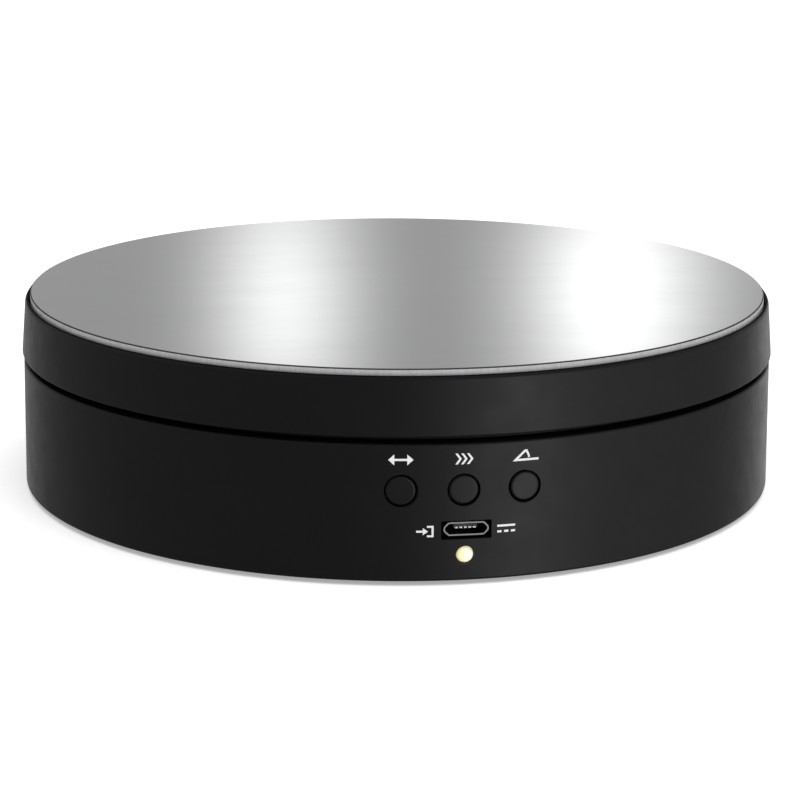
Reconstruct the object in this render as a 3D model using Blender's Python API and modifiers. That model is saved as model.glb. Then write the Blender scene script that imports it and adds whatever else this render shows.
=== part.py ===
"""A motorised turntable display stand, built as the separate pieces it comes apart into.

Metres, +Z up. The origin is on the table, under the turntable's axis, and the controls face -Y.
The platter turns on a ball race and is driven by a geared stepper motor, whose pinion meshes
with an internal ring gear under the platter. Three buttons press tact switches on an upright board.
"""

import math

import bmesh
import bpy
from mathutils import Vector

# ---------------------------------------------------------------- driving dimensions
RIM_RADIUS = 0.0730  # lower edge of the platter's skirt, the widest place
TOTAL_HEIGHT = 0.0380
CASE_RADIUS = 0.0727  # at the top of its wall
CASE_FOOT_RADIUS = 0.0730  # at the bottom, as the wall has a little draft
CASE_BEVEL = 0.0004
WALL = 0.0022
FIT_GAP = 0.0003  # between pieces that rest on, or locate, each other
HEAD_GAP = 0.0002  # under a screw's head
ROUND = 48  # segments round the large shells
RING = 40  # segments round the bearing rings and the gear's rim
SMALL = 20  # segments round hubs, feet and button holes
MEDIUM = 16  # segments round posts, pins and lenses
TINY = 12  # segments round screws
OVER = 0.0005  # how far a joined piece runs into its neighbour
REACH = 0.003  # how far a cutter runs past what it cuts

# heights
CASE_BOTTOM_Z = 0.0008  # the feet hold the case off the table
COVER_TOP_Z = CASE_BOTTOM_Z + WALL
DECK_UNDER_Z = 0.0232
DECK_TOP_Z = 0.0252
SKIRT_BOTTOM_Z = 0.02635
PLATE_UNDER_Z = 0.0329
PLATE_TOP_Z = 0.0350
LIP_TOP_Z = 0.0369

# mirror and the tape under it
MIRROR_RADIUS = 0.0712
MIRROR_THICK = 0.0020
MIRROR_BEVEL = 0.0002
TAPE_OUTER = 0.0660
TAPE_INNER = 0.0300
TAPE_THICK = 0.0005

# platter
SHOULDER_RADIUS = 0.0721  # skirt just under its rounded shoulder
SHOULDER_ROUND = 0.0008
SKIRT_INNER = 0.0707
HUB_RADIUS = 0.0090
HUB_BOTTOM_Z = 0.0295

# spindle, its bush, washer and clip
SPINDLE_RADIUS = 0.0040
SPINDLE_BOTTOM_Z = 0.0198
SPINDLE_TOP_Z = 0.0333
BUSH_RADIUS = 0.0060
BUSH_FLANGE_RADIUS = 0.0085
BUSH_FLANGE_THICK = 0.0010
TOWER_RADIUS = 0.0096
TOWER_TOP_Z = 0.0278
RACE_RIB = (0.0540, 0.0556, 0.0264)  # inner and outer radius, and top, of the rib inside the lower race
FENCE = (0.0683, 0.0698, 0.0280)  # the same for the rib that stands inside the skirt
WASHER_RADIUS = 0.0080
WASHER_BOTTOM_Z = 0.0220
WASHER_THICK = 0.0007
CLIP_BOTTOM_Z = 0.0210
CLIP_THICK = 0.0007
GROOVE_RADIUS = 0.0032
CLIP_OUTER = 0.0065

# ball race
BALL_CIRCLE = 0.0600
BALL_RADIUS = 0.0020
BALL_COUNT = 10
BALL_Z = 0.0285
RACE_HALF_WIDTH = 0.0040
TRACK_RADIUS = 0.0024
LOWER_RACE_TOP_Z = 0.0273
UPPER_RACE_BOTTOM_Z = 0.0297
CAGE_HALF_WIDTH = 0.0035
CAGE_THICK = 0.0015
POCKET_RADIUS = 0.0023

# gears
MODULE = 0.00125
RING_TEETH = 68
PINION_TEETH = 12
PRESSURE_ANGLE = math.radians(20)
BACKLASH = 0.00022  # taken off each gear's tooth at the pitch line
RING_PITCH = MODULE * RING_TEETH / 2
PINION_PITCH = MODULE * PINION_TEETH / 2
GEAR_CENTRES = RING_PITCH - PINION_PITCH
RING_TIP = RING_PITCH - 0.0007
RING_ROOT = RING_PITCH + 0.00125
RING_OUTER = 0.0470
RING_BOTTOM_Z = 0.0274
GEAR_FLANGE_RADIUS = 0.0534
GEAR_FLANGE_BOTTOM_Z = 0.0276
GEAR_FLANGE_THICK = 0.0020
GEAR_BOSS_RADIUS = 0.0029
GEAR_SCREW_CIRCLE = 0.0504
GEAR_SCREW_ANGLES = [math.radians(a) for a in (30, 150, 270)]
PINION_TIP = PINION_PITCH + 0.0010
PINION_ROOT = PINION_PITCH - 0.0012
PINION_BOTTOM_Z = 0.0266
PINION_THICK = 0.0050

# motor: the shaft stands off the can's centre
MOTOR_RADIUS = 0.0140
MOTOR_HEIGHT = 0.0190
MOTOR_FACE_Z = 0.0224
SHAFT_OFFSET = 0.0080
SHAFT_RADIUS = 0.0025
SHAFT_FLAT = 0.0015  # half the width across the shaft's two flats
SHAFT_BOTTOM_Z = 0.0200
SHAFT_TOP_Z = 0.0322
MOTOR_BOSS_RADIUS = 0.0045
MOTOR_BOSS_HEIGHT = 0.0015
EAR_SPREAD = 0.0175
EAR_RADIUS = 0.0035
EAR_THICK = 0.0008
EAR_TOP_Z = MOTOR_FACE_Z - 0.0002
EAR_HOLE = 0.0021
EAR_POST_RADIUS = 0.0034
EAR_POST_TOP_Z = 0.0285
SHAFT_Y = GEAR_CENTRES
MOTOR_Y = SHAFT_Y - SHAFT_OFFSET
WIRE_CAP_WIDTH = 0.0146
WIRE_CAP_REACH = 0.0170
WIRE_CAP_BOTTOM_Z = 0.0044
WIRE_CAP_TOP_Z = 0.0204

# the motor's flat lead, and the plug and socket on its end
LEAD_WIDTH = 0.0062
LEAD_THICK = 0.0012
LEAD_EXIT_Z = 0.0085
LEAD_LOW_Z = 0.0046
LEAD_BEND = 0.0100  # the length over which the lead changes height
PLUG_SIZE = (0.0132, 0.0050, 0.0048)
PLUG_BACK_Y = -0.0484
PLUG_Z = 0.0076

# screws: head radius, head height, shank radius and length
CASE_SCREW = (0.0028, 0.0016, 0.0014, 0.0095)
MOTOR_SCREW = (0.0027, 0.0013, 0.0014, 0.0052)
BOARD_SCREW = (0.0022, 0.0012, 0.00115, 0.0065)
GEAR_SCREW = (0.0021, 0.0010, 0.0010, 0.0050)
PILOT_TIP = 0.0008  # how far a pilot hole goes past its screw's tip

# bottom cover, feet and case screws
COVER_RADIUS = CASE_RADIUS - WALL - FIT_GAP
FOOT_RADIUS = 0.0060
FOOT_HEIGHT = 0.0020
FOOT_BEVEL = 0.0005
FOOT_CIRCLE = 0.0580
FOOT_ANGLES = [math.radians(a) for a in (0, 90, 180, 270)]
POST_CIRCLE = 0.0620
POST_RADIUS = 0.00375
POST_BOTTOM_Z = 0.0053
POST_ANGLES = [math.radians(a) for a in (45, 135, 225, 315)]
COVER_BOSS_RADIUS = 0.0050
COVER_BOSS_TOP_Z = 0.0050
HEAD_HOLE_RADIUS = 0.0033

# controls in the wall
BUTTON_NAMES = ("direction", "speed", "angle")
BUTTON_PITCH = 0.0108
BUTTON_Z = 0.0170
BUTTON_HOLE = 0.00285
BUTTON_RADIUS = 0.0026
BUTTON_FLANGE = 0.0036
BUTTON_FLANGE_THICK = 0.0010
BUTTON_SINK = 0.00015  # the caps' faces lie this far under the wall's surface
PORT_X = 0.0005
PORT_Z = 0.0099
PORT_WIDTH = 0.0088
PORT_HEIGHT = 0.0033
LED_X = 0.00035
LED_Z = 0.00535
LED_RADIUS = 0.0015
LED_HOLE = 0.00165
LED_LENGTH = 0.0053
LED_FLANGE = 0.0019
LED_FLANGE_THICK = 0.0010
LED_BACK_Y = -0.07285 + LED_LENGTH  # the lens's tip is just inside the wall's surface

# board and what is on it
BOARD_FRONT_Y = -0.0616
BOARD_THICK = 0.0016
BOARD_WIDTH = 0.0400
BOARD_BOTTOM_Z = 0.0036
BOARD_TOP_Z = 0.0216
BOARD_SCREW_X = 0.0175
BOARD_SCREW_Z = 0.0125
BOARD_BOSS_RADIUS = 0.0028
SWITCH_SIDE = 0.0060
SWITCH_THICK = 0.0033
SWITCH_WELL_RADIUS = 0.0020
SWITCH_WELL_DEPTH = 0.0015
PLUNGER_RADIUS = 0.0017
PLUNGER_LENGTH = 0.0021
PLUNGER_BACK = 0.0025  # from the board's face to the plunger's inner end, at rest
SOCKET_LENGTH = 0.0106
SOCKET_WALL = 0.0003
SOCKET_Z = PORT_Z + 0.0001
SOCKET_HALF_WIDTH = 0.00395
SOCKET_HALF_HEIGHT = 0.0012
SOCKET_FLAT_HALF_WIDTH = 0.0030  # of its top and bottom, between the cut corners
SOCKET_SHOULDER = 0.00025  # how far above and below its middle the cut corners meet the sides
INSULATOR_LENGTH = 0.0040
TONGUE_WIDTH = 0.0041
TONGUE_THICK = 0.0006
TONGUE_DROP = 0.00005  # how far the tongue's underside is below the socket's middle
TONGUE_TIP_Y = -0.0716
CHIP_Z = 0.0160
CHIP_HEIGHT = 0.0039
CHIP_THICK = 0.0015
MOTOR_SOCKET_SIZE = (0.0150, 0.0060)


# ---------------------------------------------------------------- scene and materials
def clear_scene():
    for obj in list(bpy.data.objects):
        bpy.data.objects.remove(obj)


def new_collection(name):
    made = bpy.data.collections.new(name)
    bpy.context.scene.collection.children.link(made)
    return made


clear_scene()
PARTS = new_collection("turntable_display_stand")
CUTTERS = new_collection("cutters")
CUTTERS.hide_render = True


def material(name, colour, roughness, metallic=0.0):
    made = bpy.data.materials.new(name)
    made.use_nodes = True
    shader = made.node_tree.nodes["Principled BSDF"]
    shader.inputs["Base Color"].default_value = (*colour, 1.0)
    shader.inputs["Roughness"].default_value = roughness
    shader.inputs["Metallic"].default_value = metallic
    return made


BLACK_ABS = material("black_abs", (0.018, 0.018, 0.019), 0.45)
MIRROR = material("mirror", (0.82, 0.83, 0.84), 0.05, 1.0)
TAPE = material("foam_tape", (0.85, 0.84, 0.80), 0.9)
STEEL = material("steel", (0.60, 0.60, 0.61), 0.3, 1.0)
ZINC = material("zinc_plate", (0.55, 0.55, 0.53), 0.35, 1.0)
BRASS = material("brass", (0.72, 0.52, 0.22), 0.3, 1.0)
WHITE_POM = material("white_pom", (0.86, 0.85, 0.81), 0.4)
RUBBER = material("rubber", (0.03, 0.03, 0.03), 0.85)
BLUE_NYLON = material("blue_nylon", (0.04, 0.16, 0.55), 0.4)
BOARD_GREEN = material("board_green", (0.02, 0.20, 0.08), 0.35)
BLACK_RESIN = material("black_resin", (0.02, 0.02, 0.02), 0.5)
CREAM_LENS = material("cream_lens", (0.95, 0.93, 0.72), 0.25)
WIRE = material("wire_insulation", (0.75, 0.20, 0.12), 0.5)


# ---------------------------------------------------------------- shape helpers
def add_part(name, data, look, at=(0, 0, 0)):
    """An object for this mesh or curve, in the parts' collection and with its own material."""
    obj = bpy.data.objects.new(name, data)
    obj.location = at
    data.materials.append(look)
    PARTS.objects.link(obj)
    return obj


def add_cutter(obj):
    """Turns an object into a helper that only Boolean modifiers use."""
    PARTS.objects.unlink(obj)
    CUTTERS.objects.link(obj)
    obj.hide_render = True
    obj.display_type = "WIRE"
    return obj


def combine(obj, others, operation):
    for other in others:
        boolean = obj.modifiers.new(operation.lower() + "_" + other.name, "BOOLEAN")
        boolean.operation = operation
        boolean.object = add_cutter(other)
    return obj


def smooth_edges(mesh, angle=35):
    mesh.shade_smooth()
    mesh.set_sharp_from_angle(angle=math.radians(angle))


def turned(name, profile, look, at=(0, 0, 0), segments=SMALL, ring=False):
    """A profile of (radius, height) turned about Z. It runs down its outer side, and a ring's is closed."""
    mesh = bpy.data.meshes.new(name)
    count = len(profile)
    edges = [(i, (i + 1) % count) for i in range(count if ring else count - 1)]
    mesh.from_pydata([(radius, 0, height) for radius, height in profile], edges, [])
    obj = add_part(name, mesh, look, at)
    screw = obj.modifiers.new("turn", "SCREW")
    screw.steps = screw.render_steps = segments
    screw.use_merge_vertices = True
    screw.merge_threshold = 0.00001
    return obj


def disc_profile(radius, bottom, top, bevel=0.0):
    """The profile of a plain disc, with both its edges bevelled if a bevel is given."""
    if not bevel:
        return [(0, top), (radius, top), (radius, bottom), (0, bottom)]
    upper = [(0, top), (radius - bevel, top), (radius, top - bevel)]
    return upper + [(radius, bottom + bevel), (radius - bevel, bottom), (0, bottom)]


def tube_profile(outer, inner, bottom, top):
    return [(outer, top), (outer, bottom), (inner, bottom), (inner, top)]


def round_bar(name, radius, bottom, top, look, at=(0, 0), segments=SMALL):
    """An upright cylinder between two heights."""
    mesh = bpy.data.meshes.new(name)
    shape = bmesh.new()
    bmesh.ops.create_cone(
        shape, cap_ends=True, segments=segments, radius1=radius, radius2=radius, depth=top - bottom
    )
    shape.to_mesh(mesh)
    shape.free()
    smooth_edges(mesh)
    return add_part(name, mesh, look, (at[0], at[1], (bottom + top) / 2))


def block(name, low, high, look):
    """A box between two corners, with its origin at its centre."""
    mesh = bpy.data.meshes.new(name)
    size = Vector(high) - Vector(low)
    shape = bmesh.new()
    bmesh.ops.create_cube(shape, size=1.0)
    bmesh.ops.scale(shape, vec=size, verts=shape.verts)
    shape.to_mesh(mesh)
    shape.free()
    return add_part(name, mesh, look, (Vector(low) + Vector(high)) / 2)


def bar_along_y(name, radius, length, middle, look, segments=SMALL):
    """A level cylinder that points out through the front wall."""
    bar = round_bar(name, radius, -length / 2, length / 2, look, segments=segments)
    bar.location = middle
    return face_front(bar)


def plate(name, outlines, bottom, top, look, at=(0, 0)):
    """Flat outlines, the first with the others as holes in it, extruded between two heights."""
    curve = bpy.data.curves.new(name, "CURVE")
    curve.dimensions = "2D"
    curve.fill_mode = "BOTH"
    curve.extrude = (top - bottom) / 2
    for outline in outlines:
        spline = curve.splines.new("POLY")
        spline.points.add(len(outline) - 1)
        spline.use_cyclic_u = True
        for point, (x, y) in zip(spline.points, outline):
            point.co = (x, y, 0, 1)
    return add_part(name, curve, look, (at[0], at[1], (bottom + top) / 2))


def meshed(obj):
    """The same piece as a welded mesh, which a Boolean can use, in place of its curve."""
    bpy.context.view_layer.update()
    graph = bpy.context.evaluated_depsgraph_get()
    mesh = bpy.data.meshes.new_from_object(obj.evaluated_get(graph))
    shape = bmesh.new()
    shape.from_mesh(mesh)
    bmesh.ops.remove_doubles(shape, verts=shape.verts, dist=0.000001)
    bmesh.ops.recalc_face_normals(shape, faces=shape.faces)
    shape.to_mesh(mesh)
    shape.free()
    name, look, matrix = obj.name, obj.data.materials[0], obj.matrix_world.copy()
    bpy.data.objects.remove(obj)
    mesh.materials.clear()
    made = add_part(name, mesh, look)
    made.name = name
    made.matrix_world = matrix
    return made


def circle(radius, count, centre=(0, 0), start=0.0):
    angles = [start + math.tau * i / count for i in range(count)]
    return [(centre[0] + radius * math.cos(a), centre[1] + radius * math.sin(a)) for a in angles]


def around(radius, angle):
    return (radius * math.cos(angle), radius * math.sin(angle))


def face_front(obj):
    """Turns a piece built along +Z so that it points out through the front wall, along -Y."""
    obj.rotation_euler = (math.radians(90), 0, 0)
    return obj


def hang(empty_name, at, pieces):
    """Parents a moving group to an empty on its joint's axis."""
    axis = bpy.data.objects.new(empty_name, None)
    axis.location = at
    PARTS.objects.link(axis)
    bpy.context.view_layer.update()
    for piece in pieces:
        piece.parent = axis
        piece.matrix_parent_inverse = axis.matrix_world.inverted()


def wall_face_y(radius, x):
    """Where a round wall of this radius faces the front, at this distance from its middle."""
    return -math.sqrt(radius**2 - x**2)


def case_radius(z):
    """The radius of the case's wall at a height."""
    drop = (DECK_TOP_Z - z) / (DECK_TOP_Z - CASE_BOTTOM_Z)
    return CASE_RADIUS + (CASE_FOOT_RADIUS - CASE_RADIUS) * drop


def button_x(index):
    return (index - 1) * BUTTON_PITCH


def screw(name, size, seat, tilt):
    """A pan-head screw. The underside of its head is at the seat, and tilt turns it about X from head up."""
    head_radius, head_height, shank_radius, length = size
    profile = [
        (0, head_height),
        (head_radius * 0.65, head_height),
        (head_radius, head_height * 0.55),
        (head_radius, 0),
        (shank_radius, 0),
        (shank_radius, -length + shank_radius),
        (0, -length),
    ]
    made = turned(name, profile, ZINC, seat, TINY)
    made.rotation_euler = (math.radians(tilt), 0, 0)
    return made


def pilot_radius(size):
    return size[2] + FIT_GAP


# ---------------------------------------------------------------- gear outlines
def involute(angle):
    return math.tan(angle) - angle


def tooth_half_angle(radius, teeth, pitch, thickening):
    """Half the angle that an involute tooth fills at this radius."""
    base = pitch * math.cos(PRESSURE_ANGLE)
    at_radius = math.acos(min(1.0, base / radius))
    half = math.pi / (2 * teeth) + thickening / (2 * pitch)
    return half + involute(PRESSURE_ANGLE) - involute(at_radius)


def gear_outline(teeth, pitch, radii, thickening):
    """The outline of an external gear with a tooth on +Y, whose flanks have a point at each radius."""
    points = []
    for tooth in range(teeth):
        middle = math.pi / 2 + math.tau * tooth / teeth
        halves = [(radius, tooth_half_angle(radius, teeth, pitch, thickening)) for radius in radii]
        points += [around(radius, middle - half) for radius, half in halves]
        points += [around(radius, middle + half) for radius, half in reversed(halves)]
    return points


# ---------------------------------------------------------------- turntable: what turns
def mirror_disc():
    profile = disc_profile(MIRROR_RADIUS, TOTAL_HEIGHT - MIRROR_THICK, TOTAL_HEIGHT, MIRROR_BEVEL)
    return turned("mirror_disc", profile, MIRROR, segments=ROUND)


def mirror_tape():
    bottom = (PLATE_TOP_Z + TOTAL_HEIGHT - MIRROR_THICK - TAPE_THICK) / 2
    profile = tube_profile(TAPE_OUTER, TAPE_INNER, bottom, bottom + TAPE_THICK)
    return turned("mirror_tape", profile, TAPE, segments=ROUND, ring=True)


def platter_shell():
    """The black lid: a plate with a lip round the mirror, a tapered skirt and a hub for the spindle."""
    lip_inner = MIRROR_RADIUS + FIT_GAP
    bore = SPINDLE_RADIUS + FIT_GAP / 2
    rim_bevel = 0.0004
    profile = [
        (0, PLATE_TOP_Z),
        (lip_inner, PLATE_TOP_Z),
        (lip_inner, LIP_TOP_Z),
        (SHOULDER_RADIUS, LIP_TOP_Z - SHOULDER_ROUND),
        (RIM_RADIUS, SKIRT_BOTTOM_Z + rim_bevel),
        (RIM_RADIUS - rim_bevel, SKIRT_BOTTOM_Z),
        (SKIRT_INNER, SKIRT_BOTTOM_Z),
        (SKIRT_INNER, PLATE_UNDER_Z),
        (HUB_RADIUS, PLATE_UNDER_Z),
        (HUB_RADIUS, HUB_BOTTOM_Z),
        (bore, HUB_BOTTOM_Z),
        (bore, SPINDLE_TOP_Z + FIT_GAP),
        (0, SPINDLE_TOP_Z + FIT_GAP),
    ]
    shell = turned("platter_shell", profile, BLACK_ABS, segments=ROUND)
    boss_bottom = GEAR_FLANGE_BOTTOM_Z + GEAR_FLANGE_THICK + FIT_GAP
    boss_top = PLATE_UNDER_Z + OVER
    bosses, pilots = [], []
    for i, angle in enumerate(GEAR_SCREW_ANGLES):
        place = around(GEAR_SCREW_CIRCLE, angle)
        bosses.append(
            round_bar(f"gear_boss_{i}", GEAR_BOSS_RADIUS, boss_bottom, boss_top, BLACK_ABS, place, MEDIUM)
        )
        radius = pilot_radius(GEAR_SCREW)
        pilots.append(
            round_bar(f"gear_pilot_{i}", radius, boss_bottom - REACH, PLATE_UNDER_Z, BLACK_ABS, place, TINY)
        )
    combine(shell, bosses, "UNION")
    return combine(shell, pilots, "DIFFERENCE")


def ring_gear():
    """Internal gear under the plate, with a flange for its screws. Its gap on +Y takes a pinion tooth."""
    gaps = gear_outline(RING_TEETH, RING_PITCH, (RING_TIP, RING_ROOT), BACKLASH)
    top = PLATE_UNDER_Z - FIT_GAP
    gear = meshed(plate("ring_gear", [circle(RING_OUTER, RING), gaps], RING_BOTTOM_Z, top, WHITE_POM))
    outlines = [circle(GEAR_FLANGE_RADIUS, RING), circle(RING_OUTER - 2 * OVER, RING)]
    hole = pilot_radius(GEAR_SCREW)
    outlines += [circle(hole, TINY, around(GEAR_SCREW_CIRCLE, angle)) for angle in GEAR_SCREW_ANGLES]
    flange_top = GEAR_FLANGE_BOTTOM_Z + GEAR_FLANGE_THICK
    flange = meshed(plate("gear_flange", outlines, GEAR_FLANGE_BOTTOM_Z, flange_top, WHITE_POM))
    return combine(gear, [flange], "UNION")


def ring_gear_screws():
    seat_z = GEAR_FLANGE_BOTTOM_Z - HEAD_GAP
    return [
        screw(f"ring_gear_screw_{i + 1}", GEAR_SCREW, (*around(GEAR_SCREW_CIRCLE, angle), seat_z), 180)
        for i, angle in enumerate(GEAR_SCREW_ANGLES)
    ]


def track(surface_z, side):
    """Points along a ball track in a race: side is -1 for the lower race and 1 for the upper one."""
    half = math.acos(abs(BALL_Z - surface_z) / TRACK_RADIUS)
    angles = [half * share for share in (-1, -1 / 3, 1 / 3, 1)]
    return [
        (BALL_CIRCLE + TRACK_RADIUS * math.sin(a), BALL_Z + side * TRACK_RADIUS * math.cos(a)) for a in angles
    ]


def race(name, flat_z, track_z, side):
    """A ring with a flat back and a ball track in its other face."""
    outer, inner = BALL_CIRCLE + RACE_HALF_WIDTH, BALL_CIRCLE - RACE_HALF_WIDTH
    track_points = track(track_z, side)
    if side > 0:
        profile = [(outer, flat_z), (outer, track_z), *reversed(track_points)]
        profile += [(inner, track_z), (inner, flat_z)]
    else:
        profile = [(outer, track_z), (outer, flat_z), (inner, flat_z), (inner, track_z), *track_points]
    return turned(name, profile, STEEL, segments=RING, ring=True)


def spindle():
    """The steel axle, pressed into the platter's hub, with a groove for the clip near its foot."""
    groove_bottom = CLIP_BOTTOM_Z - FIT_GAP / 2
    groove_top = CLIP_BOTTOM_Z + CLIP_THICK + FIT_GAP / 2
    bevel = 0.0004
    profile = [
        (0, SPINDLE_TOP_Z),
        (SPINDLE_RADIUS, SPINDLE_TOP_Z),
        (SPINDLE_RADIUS, groove_top),
        (GROOVE_RADIUS, groove_top),
        (GROOVE_RADIUS, groove_bottom),
        (SPINDLE_RADIUS, groove_bottom),
        (SPINDLE_RADIUS, SPINDLE_BOTTOM_Z + bevel),
        (SPINDLE_RADIUS - bevel, SPINDLE_BOTTOM_Z),
        (0, SPINDLE_BOTTOM_Z),
    ]
    return turned("spindle", profile, STEEL)


def retaining_clip():
    """An E-shaped clip: a ring open on one side, with three prongs that reach into the groove."""
    opening = math.radians(38)
    steps = 24
    prongs = [math.radians(a) for a in (48, 180, 312)]
    angles = [opening + (math.tau - 2 * opening) * i / steps for i in range(steps + 1)]
    outer = [around(CLIP_OUTER, a) for a in angles]
    inner = []
    for a in reversed(angles):
        near_prong = min(abs(a - p) for p in prongs) < math.radians(14)
        inner.append(around(GROOVE_RADIUS + FIT_GAP if near_prong else SPINDLE_RADIUS + 0.0008, a))
    return plate("retaining_clip", [outer + inner], CLIP_BOTTOM_Z, CLIP_BOTTOM_Z + CLIP_THICK, STEEL)


# ---------------------------------------------------------------- ball bearing
def ball_cage():
    outer, inner = BALL_CIRCLE + CAGE_HALF_WIDTH, BALL_CIRCLE - CAGE_HALF_WIDTH
    outlines = [circle(outer, RING), circle(inner, RING)]
    outlines += [circle(POCKET_RADIUS, TINY, centre) for centre in ball_centres()]
    return plate("ball_cage", outlines, BALL_Z - CAGE_THICK / 2, BALL_Z + CAGE_THICK / 2, WHITE_POM)


def ball_centres():
    return [around(BALL_CIRCLE, math.tau * i / BALL_COUNT) for i in range(BALL_COUNT)]


def bearing_balls():
    mesh = bpy.data.meshes.new("bearing_ball")
    shape = bmesh.new()
    bmesh.ops.create_icosphere(shape, subdivisions=2, radius=BALL_RADIUS)
    shape.to_mesh(mesh)
    shape.free()
    mesh.materials.append(STEEL)
    mesh.shade_smooth()
    balls = []
    for i, (x, y) in enumerate(ball_centres()):
        ball = bpy.data.objects.new(f"bearing_ball_{i + 1:02d}", mesh)
        ball.location = (x, y, BALL_Z)
        PARTS.objects.link(ball)
        balls.append(ball)
    return balls


# ---------------------------------------------------------------- drive
def motor_shaft():
    """The gearbox's output shaft, with two flats where the pinion sits."""
    shaft = round_bar("motor_shaft", SHAFT_RADIUS, SHAFT_BOTTOM_Z, SHAFT_TOP_Z, STEEL, (0, SHAFT_Y))
    flats = []
    for side in (-1, 1):
        near, far = sorted((side * SHAFT_FLAT, side * (SHAFT_RADIUS + REACH)))
        low = (near, SHAFT_Y - 2 * SHAFT_RADIUS, PINION_BOTTOM_Z - 2 * FIT_GAP)
        high = (far, SHAFT_Y + 2 * SHAFT_RADIUS, SHAFT_TOP_Z + REACH)
        flats.append(block(f"shaft_flat_{side}", low, high, STEEL))
    return combine(shaft, flats, "DIFFERENCE")


def flatted_hole(radius, half_width, steps=4):
    """A round hole with two flats across X, which drives the pinion."""
    limit = math.asin(half_width / radius)
    arc = [math.pi / 2 - limit + 2 * limit * i / steps for i in range(steps + 1)]
    upper = [around(radius, a) for a in arc]
    return upper + [(-x, -y) for x, y in upper]


def drive_pinion():
    radii = (PINION_ROOT, PINION_PITCH * math.cos(PRESSURE_ANGLE) + 0.0001, PINION_PITCH + 0.0002, PINION_TIP)
    teeth = gear_outline(PINION_TEETH, PINION_PITCH, radii, -BACKLASH)
    hole = flatted_hole(SHAFT_RADIUS + FIT_GAP / 2, SHAFT_FLAT + FIT_GAP / 2)
    top = PINION_BOTTOM_Z + PINION_THICK
    return plate("drive_pinion", [teeth, hole], PINION_BOTTOM_Z, top, WHITE_POM, (0, SHAFT_Y))


def motor_can():
    """Geared stepper motor: a steel can with an ear plate and a boss round its output shaft."""
    profile = disc_profile(MOTOR_RADIUS, MOTOR_FACE_Z - MOTOR_HEIGHT, MOTOR_FACE_Z, 0.0006)
    can = turned("motor_can", profile, ZINC, (0, MOTOR_Y, 0), 32)
    arc = [math.radians(a) for a in range(-90, 91, 30)]
    right_end = [(EAR_SPREAD + EAR_RADIUS * math.cos(a), EAR_RADIUS * math.sin(a)) for a in arc]
    outline = right_end + [(-x, -y) for x, y in right_end]
    holes = [circle(EAR_HOLE, TINY, (side * EAR_SPREAD, 0)) for side in (-1, 1)]
    ear_bottom = EAR_TOP_Z - EAR_THICK
    ears = meshed(plate("motor_ears", [outline, *holes], ear_bottom, EAR_TOP_Z, ZINC, (0, MOTOR_Y)))
    shaft = (0, SHAFT_Y)
    boss_top = MOTOR_FACE_Z + MOTOR_BOSS_HEIGHT
    bore_bottom = SHAFT_BOTTOM_Z - FIT_GAP
    boss = round_bar("motor_boss", MOTOR_BOSS_RADIUS, MOTOR_FACE_Z - OVER, boss_top, ZINC, shaft)
    bore = round_bar("motor_bore", SHAFT_RADIUS + FIT_GAP, bore_bottom, boss_top + REACH, ZINC, shaft)
    combine(can, [ears, boss], "UNION")
    return combine(can, [bore], "DIFFERENCE")


def motor_wire_cap():
    """The blue cap on the can's side, where the wires come out."""
    half = WIRE_CAP_WIDTH / 2
    low = (-half, MOTOR_Y - WIRE_CAP_REACH, WIRE_CAP_BOTTOM_Z)
    high = (half, MOTOR_Y - MOTOR_RADIUS + REACH, WIRE_CAP_TOP_Z)
    cap = block("motor_wire_cap", low, high, BLUE_NYLON)
    clearance = MOTOR_RADIUS + FIT_GAP
    can = round_bar("can_clearance", clearance, 0, DECK_UNDER_Z, BLUE_NYLON, (0, MOTOR_Y), ROUND)
    return combine(cap, [can], "DIFFERENCE")


def motor_screws():
    seat_z = EAR_TOP_Z - EAR_THICK - HEAD_GAP
    return [
        screw(f"motor_screw_{i + 1}", MOTOR_SCREW, (side * EAR_SPREAD, MOTOR_Y, seat_z), 180)
        for i, side in enumerate((-1, 1))
    ]


def eased(start, end, share):
    """A value that leaves its start and reaches its end without a corner."""
    return start + (end - start) * (1 - math.cos(math.pi * share)) / 2


def motor_lead():
    """The flat five-wire lead from the motor's cap to the board, with the plug on its end."""
    start_y = MOTOR_Y - WIRE_CAP_REACH - FIT_GAP
    straight = LEAD_BEND / 5
    shares = [i / 4 for i in range(5)]
    route = [(start_y, LEAD_EXIT_Z)]
    route += [(start_y - straight - LEAD_BEND * s, eased(LEAD_EXIT_Z, LEAD_LOW_Z, s)) for s in shares]
    rise_y = PLUG_BACK_Y + straight + LEAD_BEND
    route += [(rise_y - LEAD_BEND * s, eased(LEAD_LOW_Z, PLUG_Z, s)) for s in shares]
    route.append((PLUG_BACK_Y - OVER, PLUG_Z))
    mesh = bpy.data.meshes.new("motor_lead")
    verts = [(side * LEAD_WIDTH / 2, y, z) for y, z in route for side in (-1, 1)]
    faces = [(2 * i, 2 * i + 1, 2 * i + 3, 2 * i + 2) for i in range(len(route) - 1)]
    mesh.from_pydata(verts, [], faces)
    lead = add_part("motor_lead", mesh, WIRE)
    skin = lead.modifiers.new("thickness", "SOLIDIFY")
    skin.thickness = LEAD_THICK
    skin.offset = 0
    width, length, height = PLUG_SIZE
    low = (-width / 2, PLUG_BACK_Y - length, PLUG_Z - height / 2)
    high = (width / 2, PLUG_BACK_Y, PLUG_Z + height / 2)
    return combine(lead, [block("lead_plug", low, high, WIRE)], "UNION")


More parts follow.
